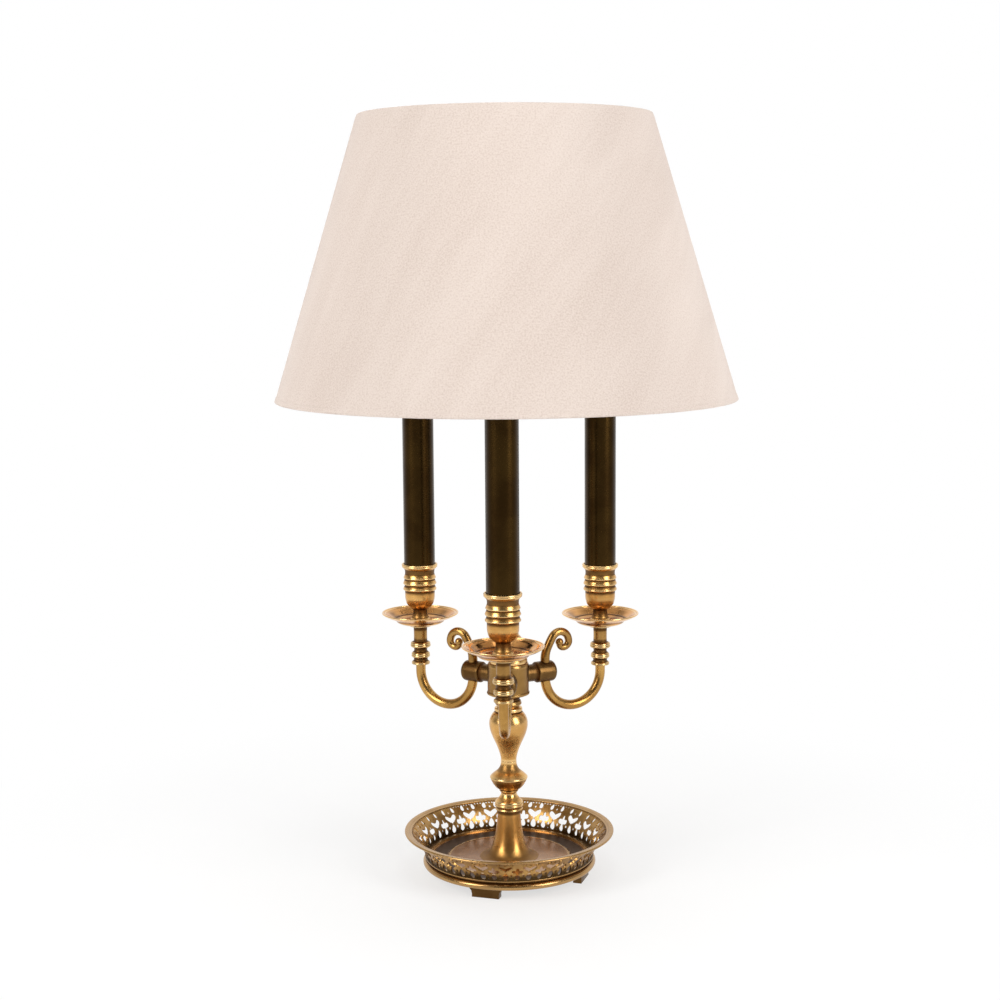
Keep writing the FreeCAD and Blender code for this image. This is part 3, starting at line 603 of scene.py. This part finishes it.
def galleryLoops(pitch):
    # every cut-out of one repeat: a club, then a pear under a tulip, with what stands between them
    corners = gallery["corners"]
    loops = [roundLoop(complex(0, gallery["pearUp"]), gallery["pear"], corners["pear"]),
             roundLoop(complex(0, gallery["tulipUp"]), gallery["tulip"], corners["tulip"]),
             roundLoop(complex(-pitch / 2, gallery["clubUp"]), gallery["club"], corners["club"])]
    across, up = gallery["tearAt"]
    for side in (-1, 1):
        tear = [(side * -x, y, radius) for x, y, radius in gallery["tear"]]
        loops.append(roundLoop(complex(side * across, up), tear, corners["tear"]))
        for x, y, radius in gallery["holes"]:
            place = complex(side * (pitch / 2 - x) - pitch / 2, y)
            loops.append(roundLoop(place, [(0, 0, radius)], corners["hole"]))
    up, radius = gallery["seed"]
    loops.append(roundLoop(complex(0, up), [(0, 0, radius)], corners["seed"]))
    dots = gallery["dots"]
    for middle in (0, -pitch / 2):
        for side in (-1, 0, 1):
            place = complex(middle + side * dots["across"], dots["up"])
            loops.append(roundLoop(place, [(0, 0, dots["radius"])], corners["dot"]))
    return loops


def makeGallery():
    units, thick, footRadius = gallery["units"], gallery["thickness"], gallery["footRadius"]
    corner, foot, rise = span(gallery["node"])
    flare = corner * math.cos(math.pi / units) - footRadius
    pitch = 2 * math.pi * (footRadius + flare / 2) / units
    bm = bmesh.new()
    seam = [complex(across, up) for across, up in gallery["seam"]]
    for loop in [seam + [point - pitch for point in reversed(seam)]] + galleryLoops(pitch):
        verts = [bm.verts.new((point.real, point.imag, 0)) for point in loop]
        for start, end in zip(verts, verts[1:] + verts[:1]):
            bm.edges.new((start, end))
    bmesh.ops.triangle_fill(bm, use_beauty=True, use_dissolve=False, edges=bm.edges[:])
    # the band's groove marks hold only painted shade: darker along its foot and under its rim
    paintedShade = bm.verts.layers.float.new("groove")
    bends, rows = gallery["bends"], gallery["rows"]
    cuts = [((-pitch + gallery["bendShift"] + pitch * cut / bends, 0, 0), (1, 0, 0)) for cut in range(1, bends)]
    cuts += [((0, rise * cut / rows, 0), (0, 1, 0)) for cut in range(1, rows)]
    for place, way in cuts:
        bmesh.ops.bisect_plane(bm, geom=bm.verts[:] + bm.edges[:] + bm.faces[:], plane_co=place, plane_no=way,
                               dist=1e-4)
    (footMost, footFade), (rimMost, rimFade) = gallery["footPaintedShade"], gallery["rimPaintedShade"]
    for vert in bm.verts:
        across, up = vert.co.x, vert.co.y
        angle = 2 * math.pi * across / pitch / units
        radius = footRadius + flare * (up / rise) ** gallery["flarePower"]
        vert[paintedShade] = max(0, footMost - up / footFade) + max(0, rimMost - (rise - up) / rimFade)
        vert.co = Vector((radius * math.cos(angle), radius * math.sin(angle), foot + up)) * mm
    repeat(bm, [2 * math.pi * unit / units for unit in range(1, units)])
    bmesh.ops.remove_doubles(bm, verts=bm.verts[:], dist=0.02 * mm)
    bmesh.ops.recalc_face_normals(bm, faces=bm.faces[:])
    outer = bm.faces[:]
    if outer[0].normal.dot(outer[0].calc_center_median()) < 0:
        bmesh.ops.reverse_faces(bm, faces=outer)
    bmesh.ops.solidify(bm, geom=outer, thickness=thick * mm)
    bmesh.ops.recalc_face_normals(bm, faces=bm.faces[:])
    swing(bm, bm.verts[:], armAngles[0])
    band = piece("piercedGallery", bm, "gallery", "lamp", [gallery["node"]], sharp=30)
    edge = band.modifiers.new("softEdges", "BEVEL")
    edge.width = gallery["softEdge"] * mm
    edge.segments = 2
    edge.limit_method = "ANGLE"
    edge.angle_limit = math.radians(50)


galleryRim = {
    "node": "gallery_rim",
    "outline": [(0.932, 0), (0.955, 0.0), (0.985, 0.12, -0.1), (1.0, 0.5, 0.45), (0.988, 0.96, 0.45),
                (0.965, 0.86, -0.1), (0.945, 0.62, -0.1), (0.932, 0.55)],
}


def makeGalleryRim():
    radius, foot, rise = span(galleryRim["node"])
    points = outline(galleryRim["outline"], radius, rise, foot)
    piece("galleryRim", turned(points, closed=True, sides=160), "ring", "lamp", [galleryRim["node"]])


# column: shares of each piece's own radius and rise
column = {
    "trumpet": {
        "node": "column_trumpet",
        # painted shade at the foot of the flare: millimetres up to its end, the bend of its fade, its most
        "flareShade": (8, 0.7, 0.27),
        "outline": [(0, 0), (1, 0), (0.99, 0.005),
                    [(0.90, 0.01), (0.80, 0.026), (0.70, 0.062), (0.61, 0.13), (0.535, 0.23), (0.47, 0.36),
                     (0.42, 0.51), (0.39, 0.66), (0.38, 0.725)],
                    (0.38, 0.735), (0.43, 0.742), (0.45, 0.772, 0.6), (0.43, 0.79), (0.467, 0.845, 0.5),
                    (0.42, 0.90, 0.35), [(0.355, 0.93), (0.29, 0.97), (0.267, 1.0)], (0, 1)],
    },
    "knop": {
        "node": "column_knop",
        "outline": [(0, 0), (0.432, 0), (0.445, 0.05, -0.2), (0.50, 0.085), (0.50, 0.12, 0.7), (0.56, 0.15),
                    [(0.70, 0.20), (0.84, 0.29), (0.93, 0.375)], (1.0, 0.455, 0.1), (0.985, 0.545, 0.45),
                    [(0.82, 0.625), (0.62, 0.71), (0.50, 0.80), (0.44, 0.90), (0.426, 1.0)], (0, 1)],
    },
    "vase": {
        "node": "column_vase",
        "outline": [(0, 0), (0.404, 0), [(0.415, 0.06), (0.50, 0.175), (0.65, 0.31), (0.81, 0.43), (0.935, 0.545),
                                        (0.995, 0.65), (0.985, 0.745), (0.90, 0.825), (0.78, 0.885), (0.69, 0.91)],
                    (0.67, 0.915), (0.72, 0.95, 0.5), (0.66, 0.99, 0.4), (0.60, 1.0), (0, 1)],
    },
    "hub": {
        "node": "arm_hub",
        "finish": "hub",
        "outline": [(0, 0), (0.497, 0), (0.497, 0.03), (0.56, 0.04), (0.60, 0.10, 0.6), (0.55, 0.15, 0.3),
                    (0.53, 0.16), (0.56, 0.205, -0.25), (0.90, 0.275, -0.12), (0.99, 0.295), (1.0, 0.31), (1.0, 0.335),
                    (0.965, 0.35), (0.965, 0.955), (0.93, 1.0), (0, 1)],
    },
    "cap": {
        "node": "hub_cap",
        "outline": [(0, 0), (0.97, 0), (1, 0.03), (1, 0.068), [(0.965, 0.18), (0.92, 0.32), (0.88, 0.47),
                                                             (0.80, 0.64), (0.66, 0.76)],
                    (0.577, 0.80), (0.577, 0.83), (0.50, 0.84), (0.423, 0.90, -0.3), (0.423, 0.97), (0.38, 1.0),
                    (0, 1)],
    },
}


def makeColumn():
    for name, spec in column.items():
        radius, foot, rise = span(spec["node"])
        bm = turned(outline(spec["outline"], radius, rise, foot), sides=112)
        if "flareShade" in spec:
            shadeFlareFoot(bm, foot, *spec["flareShade"])
        piece(name, bm, spec.get("finish", "brass"), "lamp", [spec["node"]])


def shadeFlareFoot(bm, foot, end, bend, most):
    # painted shade lies in the foot of the flare, where it meets the tray, so that its thin edge is lost in the tray
    layer = bm.verts.layers.float["groove"]
    for vert in bm.verts:
        near = max(0, 1 - (vert.co.z / mm - foot) / end) ** bend
        vert[layer] = vert[layer] * (1 - near) + most * near


# arms
armBoss = {
    "node": "arm_bosses",
    "level": 164.1,
    # in millimetres: out from the boss's own axis, and along the arm from the lamp's axis
    "outline": [(0, 14.0), (7.0, 14.0), (7.0, 23.8), [(7.28, 24.4), (8.33, 25.3), (8.5, 27.0), (8.5, 37.5),
                                                      (7.99, 40.3), (6.29, 41.8)], (0, 42.5, 0.06)],
}


def makeArmBosses():
    bm = turned(outline(armBoss["outline"]), sides=64)
    swing(bm, bm.verts[:], math.radians(90), "Y")
    bmesh.ops.translate(bm, verts=bm.verts[:], vec=(0, 0, armBoss["level"] * mm))
    piece("armBosses", aboutArms(bm), "boss", "lamp", [armBoss["node"]])


armTube = {"node": "arm_tubes", "radius": 4.0, "inner": 34.0, "bendLevel": 159.1, "top": 168.1, "rootLevel": 163.1}


def makeArmTubes():
    tube = armTube
    bm = bmesh.new()
    bmesh.ops.create_circle(bm, cap_ends=True, segments=36, radius=tube["radius"] * mm)
    bmesh.ops.translate(bm, verts=bm.verts[:], vec=(tube["inner"] * mm, 0, tube["rootLevel"] * mm))
    ring = extrudeUp(bm, bm.edges[:], (tube["bendLevel"] - tube["rootLevel"]) * mm)
    centre = ((tube["inner"] + armReach) / 2 * mm, 0, tube["bendLevel"] * mm)
    bend = bmesh.ops.spin(bm, geom=ring, cent=centre, axis=(0, -1, 0), dvec=(0, 0, 0), angle=math.pi, steps=56,
                          use_merge=False, use_duplicate=False)
    ring = extrudeUp(bm, edgesOf(bend["geom_last"]), (tube["top"] - tube["bendLevel"]) * mm)
    bmesh.ops.contextual_create(bm, geom=ring)
    bmesh.ops.remove_doubles(bm, verts=bm.verts[:], dist=drawing["weld"])
    bmesh.ops.recalc_face_normals(bm, faces=bm.faces[:])
    piece("armTubes", aboutArms(bm), "tube", "lamp", [tube["node"]])


def extrudeUp(bm, edges, rise):
    grown = bmesh.ops.extrude_edge_only(bm, edges=edges)["geom"]
    moved = vertsOf(grown)
    bmesh.ops.translate(bm, verts=moved, vec=(0, 0, rise))
    return [edge for edge in edgesOf(grown) if all(vert in moved for vert in edge.verts)]


scroll = {
    "node": "arm_scrolls",
    "rootLevel": 164.5,
    # its first bend starts this far above the boss's axis
    "upright": 10,
    # (bend radius, heading at its end in turns of 180 degrees, straight run after it)
    "bends": [(20, 0.15, 9), (8.4, 1.0, 0), (5.3, 1.5, 0), (3.6, 2.1, 0)],
    "bendSteps": 6,
    "rootRadius": 3.9,
    "tipRadius": 2.4,
    "ball": 3.3,
}


def scrollPath():
    across, up, heading = armTube["inner"], armBoss["level"] + scroll["upright"], 0.0
    points = [(across, scroll["rootLevel"]), (across, up)]
    steps = scroll["bendSteps"]
    for radius, turn, run in scroll["bends"]:
        turn *= math.pi
        for i in range(1, steps + 1):
            t = heading + (turn - heading) * i / steps
            points.append((across + radius * (math.cos(heading) - math.cos(t)),
                           up + radius * (math.sin(t) - math.sin(heading))))
        across, up, heading = *points[-1], turn
        if run:
            across += run * math.sin(turn)
            up += run * math.cos(turn)
            points.append((across, up))
    return points


def makeArmScrolls():
    path = scrollPath()
    curve = bpy.data.curves.new("scrollWire", "CURVE")
    curve.dimensions = "3D"
    curve.bevel_depth = mm
    curve.bevel_resolution = 8
    curve.use_fill_caps = True
    curve.resolution_u = 5
    line = curve.splines.new("NURBS")
    line.points.add(len(path) - 1)
    for index, (point, (across, up)) in enumerate(zip(line.points, path)):
        share = index / (len(path) - 1)
        point.co = (across * mm, 0, up * mm, 1)
        point.radius = scroll["rootRadius"] + (scroll["tipRadius"] - scroll["rootRadius"]) * share
    line.order_u = 4
    line.use_endpoint_u = True
    holder = bpy.data.objects.new("scrollWire", curve)
    bpy.context.scene.collection.objects.link(holder)
    bpy.context.view_layer.update()
    mesh = bpy.data.meshes.new_from_object(holder.evaluated_get(bpy.context.evaluated_depsgraph_get()))
    bm = bmesh.new()
    bm.from_mesh(mesh)
    bpy.data.meshes.remove(mesh)
    bpy.data.objects.remove(holder)
    bmesh.ops.remove_doubles(bm, verts=bm.verts[:], dist=1e-6)
    bmesh.ops.recalc_face_normals(bm, faces=bm.faces[:])
    across, up = path[-1]
    place = Matrix.Translation((across * mm, 0, up * mm))
    bmesh.ops.create_uvsphere(bm, u_segments=24, v_segments=16, radius=scroll["ball"] * mm, matrix=place)
    piece("armScrolls", aboutArms(bm), "stem", "lamp", [scroll["node"]])


# pieces turned on each candle's axis
armStem = {
    "node": "arm_stems",
    "outline": [(0, 0), (0.80, 0), (0.82, 0.03, 0.5), (0.80, 0.06, 0.5), (0.68, 0.085), (0.665, 0.15, -0.35),
                (0.79, 0.18), (0.83, 0.235, 0.45), (0.78, 0.29, 0.3), (0.64, 0.32), (0.64, 0.40, -0.3), (0.86, 0.435),
                (0.89, 0.495, 0.5), (0.85, 0.55, 0.3), (0.62, 0.575), (0.61, 0.72), (0.62, 0.90), (0.68, 0.93, -0.2),
                (1.0, 0.955), (1.0, 1.0, 0.3), (0, 1)],
}
waxPan = {
    "node": "wax_pans",
    # painted reflection, dark fans: waves round the dish (share, count, shift), and how they fade at its lip and its
    # middle
    "fan": {"strength": 0.8, "level": 0.5, "waves": [(0.32, 6, 0.5), (0.18, 9, -0.8)], "bend": 1.5,
            "end": 0.93, "endFade": 9, "middleFade": 1.6},
    # bowl, flange, double lip, then the inside down to the seat
    "outline": [(0, 0), (0.30, 0), [(0.42, 0.03), (0.53, 0.10), (0.61, 0.22), (0.645, 0.36)], (0.66, 0.43),
                [(0.76, 0.54), (0.88, 0.68), (0.965, 0.83)], (0.995, 0.90), (1.0, 0.945, 0.4), (0.985, 0.995, 0.5),
                (0.955, 0.97, 0.1), (0.945, 0.93, -0.3), (0.915, 0.935, 0.5), (0.895, 0.90), (0.885, 0.865, -0.3),
                [(0.83, 0.76), (0.76, 0.60), (0.68, 0.43), (0.58, 0.31)], (0.46, 0.262, -0.1), (0.30, 0.255),
                (0, 0.255)],
}
candleCup = {
    "node": "candle_cups",
    "outline": [(0, 0), (0.593, 0), (0.605, 0.02, 0.5), (0.56, 0.05), (0.46, 0.09, -0.2), (0.40, 0.17, -0.15),
                (0.40, 0.205), (0.46, 0.225), [(0.62, 0.262), (0.76, 0.315), (0.83, 0.39)], (0.845, 0.43),
                (0.845, 0.53), (0.90, 0.545), (0.92, 0.585, 0.55), (0.87, 0.615), (0.85, 0.63), (0.90, 0.645),
                (0.925, 0.68, 0.55), (0.885, 0.715), (0.85, 0.73), (0.885, 0.745), (0.90, 0.775, 0.5), (0.855, 0.81),
                (0.835, 0.85, -0.15), (0.86, 0.90, -0.1), (0.96, 0.935), (1.0, 0.965, 0.45), (0.985, 1.0, 0.45),
                (0.917, 1.0), (0.917, 0.934), (0, 0.934)],
}


def makeCandleSets():
    for name, spec, finish, slotName in (("armStems", armStem, "stem", "antique_brass"),
                                         ("waxPans", waxPan, "pan", "pan_brass"),
                                         ("candleCups", candleCup, "brass", "antique_brass")):
        radius, foot, rise = armSpan(spec["node"])
        points = outline(spec["outline"], radius, rise, foot)
        bm = turned(points, sides=80, across=armReach)
        if "fan" in spec:
            paintedReflectionFans(bm, radius, spec["fan"])
        piece(name, aboutArms(bm), finish, "lamp", [spec["node"]])


def paintedReflectionFans(bm, radius, fan):
    # painted reflection: dark fans lie between the brighter parts of the dish, as the spun metal's reflections do, and
    # not out on its lip
    layer = bm.verts.layers.float.new("fan")
    for vert in bm.verts:
        across, along = vert.co.x / mm - armReach, vert.co.y / mm
        angle, reach = math.atan2(along, across), math.hypot(across, along) / radius
        wave = sum((share * math.sin(count * angle + shift) for share, count, shift in fan["waves"]), fan["level"])
        inLip = max(0, min(1, (fan["end"] - reach) * fan["endFade"]))
        vert[layer] = fan["strength"] * wave ** fan["bend"] * inLip * min(1, reach * fan["middleFade"])


candle = {"wall": 1.0}
bulb = {
    "glass": [(0, 0), (0.42, 0), [(0.45, 0.03), (0.60, 0.13), (0.84, 0.26), (0.98, 0.37), (1.0, 0.44), (0.93, 0.57),
                                  (0.76, 0.71), (0.50, 0.84), (0.24, 0.94), (0.10, 0.985)], (0, 1)],
    # the cap is its contact, then the thread, then the collar
    "contact": [(0, 0), (0.30, 0), (0.34, 0.05), (0.80, 0.14), (0.90, 0.18, 0.3), (0.92, 0.22)],
    "thread": {"count": 5, "start": 0.24, "pitch": 0.13, "root": 0.92, "width": 0.09, "bulge": 0.35},
    "collar": [(0.94, 0.92), (0.94, 1.0), (0, 1)],
}


def threadShares():
    thread = bulb["thread"]
    shares = []
    for turn in range(thread["count"]):
        start = thread["start"] + thread["pitch"] * turn
        shares += [(thread["root"], start), (1.0, start + thread["width"] / 2, thread["bulge"]),
                   (thread["root"], start + thread["width"], thread["bulge"])]
    return shares


def onCandle(k, name, points, finish, body, node, slotName, **ways):
    # turns an outline on one candle's axis; every piece there carries its candle's number
    number = k + 1
    bm = turned(points, across=armReach, **ways)
    swing(bm, bm.verts[:], armAngles[k])
    piece(f"{name}{number}", bm, finish, f"{body}_{number}", [f"{node}_{number}"])


def makeCandle(k):
    foot, top = sleeveLow.z / mm, sleeveHigh.z / mm
    radius = (sleeveHigh.x - sleeveLow.x) / 2 / mm
    inner = radius - candle["wall"]
    points = [complex(inner, foot), complex(radius, foot), complex(radius, top), complex(inner, top)]
    onCandle(k, "candleSleeve", points, "sleeve", "sleeve", "candle_sleeve", "bronze_sleeve",
             closed=True, sides=72, ease=0.3)

    radius, foot, rise = boxSpan(f"bulb_glass_{k + 1}")
    points = outline(bulb["glass"], radius, rise, foot)
    onCandle(k, "bulbGlass", points, "glass", "bulb", "bulb_glass", "bulb_glass", sides=56, ease=0)

    radius, foot, rise = boxSpan(f"bulb_cap_{k + 1}")
    points = outline(bulb["contact"] + threadShares() + bulb["collar"], radius, rise, foot)
    onCandle(k, "bulbCap", points, "cap", "bulb", "bulb_cap", "bulb_cap", sides=48, ease=0.1)


# shade
shade = {
    "topRadius": 114.6,
    "skin": 1.0,
    "sides": 192,
    # the cloth is turned over the bottom wire, so its last few millimetres stand a little proud
    "hem": {"rise": 4.0, "proud": 0.3, "fade": 3},
    "lining": {"skin": 0.8, "inset": 1.15},
}


def makeShade():
    bottom, foot, rise = span("shade_cover")
    topRadius, top, skin = shade["topRadius"], foot + rise, shade["skin"]
    slope = (bottom - topRadius) / rise
    hem, proud, fade = shade["hem"]["rise"], shade["hem"]["proud"], shade["hem"]["fade"]
    points = [complex(bottom - skin, foot), complex(bottom - skin * 0.1, foot), complex(bottom + proud, foot + 0.5),
              complex(bottom + proud - slope * (hem - proud), foot + hem - proud),
              complex(bottom - slope * hem, foot + hem), complex(bottom - slope * (hem + fade), foot + hem + fade),
              complex(topRadius + slope * 3.0, top - 3.0), complex(topRadius - 0.2, top - 0.5)]
    points += bow(points[-1], complex(topRadius - skin, top - 0.2), 0.4)
    bm = turned(points, closed=True, sides=shade["sides"], ease=0)
    unroll(bm, slope)
    cover = piece("shadeCover", bm, "fabric", "shade", ["shade_cover"], sharp=60)
    # the cloth is somewhat less than a third of a ring when it lies flat
    far, near, opening = bottom * mm / lean(slope), topRadius * mm / lean(slope), math.pi * lean(slope)
    2 * far * math.sin(opening)
    far - near * math.cos(opening)
    opening * (far**2 - near**2)

    inset, thick = shade["lining"]["inset"], shade["lining"]["skin"]
    points = [complex(bottom - inset - thick, foot), complex(bottom - inset, foot),
              complex(topRadius - inset, top), complex(topRadius - inset - thick, top)]
    bm = turned(points, closed=True, sides=shade["sides"], ease=0.2)
    piece("shadeLining", bm, "lining", "shade", ["shade_lining"], sharp=60)


def lean(slope):
    # sine of the cone's half angle
    return slope / math.hypot(1, slope)


def unroll(bm, slope):
    # lays the cone's cloth out flat, so that its grain runs straight in the cut
    layer = bm.loops.layers.uv.new("cloth")
    for face in bm.faces:
        middle = face.calc_center_median()
        around = math.atan2(middle.x, -middle.y)
        for loop in face.loops:
            here = loop.vert.co
            angle = math.atan2(here.x, -here.y)
            if angle - around > math.pi:
                angle -= 2 * math.pi
            elif around - angle > math.pi:
                angle += 2 * math.pi
            reach = math.hypot(here.x, here.y) / lean(slope)
            turn = angle * lean(slope)
            loop[layer].uv = (reach * math.sin(turn), -reach * math.cos(turn))


wires = {"topWire": "shade_top_wire", "bottomWire": "shade_bottom_wire"}


def makeWires():
    for name, node in wires.items():
        radius, foot, rise = span(node)
        half = rise / 2
        centre = complex(radius - half, foot + half)
        points = [centre + cmath.rect(half, math.radians(angle)) for angle in range(0, 360, 30)]
        piece(name, turned(points, closed=True, sides=128, ease=0), "wire", "shade", [node])


finial = {
    "node": "shade_finial",
    "outline": [(0, 0), (0.95, 0), (1.0, 0.04, 0.4), (1.0, 0.10), (0.95, 0.13, 0.4), (0.62, 0.16), (0.55, 0.22, -0.3),
                [(0.72, 0.32), (0.87, 0.44), (0.84, 0.58), (0.62, 0.72), (0.46, 0.79)], (0.54, 0.82),
                (0.54, 0.88, 0.6), (0.34, 0.90), [(0.42, 0.94), (0.28, 0.985)], (0, 1)],
}


def makeFinial():
    radius, foot, rise = span(finial["node"])
    points = outline(finial["outline"], radius, rise, foot)
    piece("finial", turned(points, sides=56, ease=0.1), "brass", "finial", [finial["node"]])


# plain pieces keep their solids and only get a finish
plainPieces = {
    "steel": ("base_washer", "base_nut", "through_rod", "candle_nipples"),
    "iron": ("weight_ring",),
    "bushing": ("cord_bushing",),
    "holder": ("lampholders",),
    "brass": ("shade_rod", "shade_carrier", "shade_spider"),
}


def dressPlainPieces():
    for finish, nodes in plainPieces.items():
        for node in nodes:
            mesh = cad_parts[node].data
            mesh.materials.clear()
            mesh.materials.append(finishes[finish])


makeBaseRing()
makeTrayFloor()
makeFeet()
print("base made")
makeGallery()
makeGalleryRim()
print("gallery made")
makeColumn()
print("column made")
makeArmBosses()
makeArmTubes()
makeArmScrolls()
makeCandleSets()
for k in range(len(armAngles)):
    makeCandle(k)
print("arms and candles made")
makeShade()
makeWires()
makeFinial()
dressPlainPieces()
print("shade made")

# stage: white paper under a room that is dark in front of the lamp and pale behind it
stage = {
    "floorSize": 12.0,
    "floorColour": (0.93, 0.93, 0.93),
    # share of plain white that rays see in the paper near the lamp, and what is added far from it
    "nearWhite": 0.65,
    "farWhite": 0.35,
    # metres from the lamp where the added white starts and where it is full
    "whiteFrom": 0.12,
    "whiteTo": 0.55,
    # the room's colour in front, and where between front (-1) and back (1) it turns
    "frontColour": (0.09, 0.0882, 0.0855),
    "turnsPale": -0.25,
    "turnsWhite": 0.85,
    "white": (1.0, 1.0, 1.0),
}


def makeFloor():
    bm = bmesh.new()
    bmesh.ops.create_grid(bm, x_segments=1, y_segments=1, size=stage["floorSize"] / 2)
    mesh = bpy.data.meshes.new("floor")
    bm.to_mesh(mesh)
    bm.free()
    finish = Finish("floorPaper")
    away = finish.add("ShaderNodeVectorMath", {"operation": "LENGTH"}, {0: finish.where()}, output="Value")
    finish.set("Base Color", stage["floorColour"])
    finish.set("Roughness", 0.9)
    finish.set("Specular IOR Level", 0.0)
    paper = Signal(finish, finish.surface.outputs[0])
    direct = finish.add("ShaderNodeLightPath", output="Is Camera Ray")
    mirrored = finish.add("ShaderNodeLightPath", output="Is Glossy Ray")
    through = finish.add("ShaderNodeLightPath", output="Is Transmission Ray")
    seen = (direct + mirrored + through).ramp(0.0, 1.0)
    white = finish.add("ShaderNodeEmission", {}, {"Color": stage["white"], "Strength": 1.0})
    far = away.ramp(stage["whiteFrom"], stage["whiteTo"])
    share = (far * stage["farWhite"] + stage["nearWhite"]) * seen
    mixed = finish.add("ShaderNodeMixShader", {}, {0: share, 1: paper, 2: white})
    output = finish.tree.nodes["Material Output"]
    finish.tree.links.new(mixed.socket, output.inputs["Surface"])
    mesh.materials.append(finish.material)
    floor = bpy.data.objects.new("floor", mesh)
    bpy.context.scene.collection.objects.link(floor)


def makeWorld():
    world = bpy.data.worlds.new("studio")
    bpy.context.scene.world = world
    world.use_nodes = True
    sky = NodeTree(world.node_tree)
    back = sky.tree.nodes["Background"]
    where = sky.add("ShaderNodeTexCoord", output="Generated")
    deep = sky.add("ShaderNodeSeparateXYZ", {}, {0: where}, output="Y")
    room = sky.blend(deep.ramp(stage["turnsPale"], stage["turnsWhite"]), stage["frontColour"], stage["white"])
    camera = sky.add("ShaderNodeLightPath", output="Is Camera Ray")
    sky.feed(back.inputs["Color"], sky.blend(camera, room, stage["white"]))
    back.inputs["Strength"].default_value = 1.0


lights = [
    # name, place, size, power, colour
    ("keyBox", (-1.36, -1.1, 1.1), (0.72, 1.4), 24.0, (1.0, 0.985, 0.96)),
    ("fillBox", (1.42, -1.0, 0.95), (0.68, 1.3), 21.0, (1.0, 0.985, 0.965)),
    ("topBox", (0.1, -0.3, 2.1), (1.2, 1.2), 11.0, (1.0, 1.0, 1.0)),
]


def makeLights():
    # all the lights look at the middle of the lamp
    aim = Vector((0, 0, 0.28))
    for name, place, size, power, colour in lights:
        data = bpy.data.lights.new(name, "AREA")
        data.shape = "RECTANGLE"
        data.size, data.size_y = size
        data.energy = power
        data.color = colour
        lamp = bpy.data.objects.new(name, data)
        lamp.location = place
        lamp.rotation_euler = (Vector(place) - aim).to_track_quat("Z", "Y").to_euler()
        lamp.visible_camera = False
        bpy.context.scene.collection.objects.link(lamp)


# the photograph's view, fitted to the lamp's outline, in millimetres and degrees
view = {"distance": 1420, "height": 501, "pitch": 7.77, "lens": 64.8, "left": 5.6, "azimuth": 2.65, "roll": -0.4}


def makeCamera():
    data = bpy.data.cameras.new("photoCamera")
    data.sensor_width = 36
    data.lens = view["lens"]
    camera = bpy.data.objects.new("photoCamera", data)
    place = Vector((-view["left"], -view["distance"], view["height"])) * mm
    around = Matrix.Rotation(math.radians(view["azimuth"]), 4, "Z")
    camera.location = around @ place
    look = Matrix.Rotation(math.radians(90 - view["pitch"]), 4, "X")
    tilt = Matrix.Rotation(math.radians(view["roll"]), 4, "Z")
    camera.rotation_euler = (around @ look @ tilt).to_euler()
    bpy.context.scene.collection.objects.link(camera)
    bpy.context.scene.camera = camera


makeFloor()
makeWorld()
makeLights()
makeCamera()
bpy.context.scene.view_settings.view_transform = "Standard"
print("stage ready")
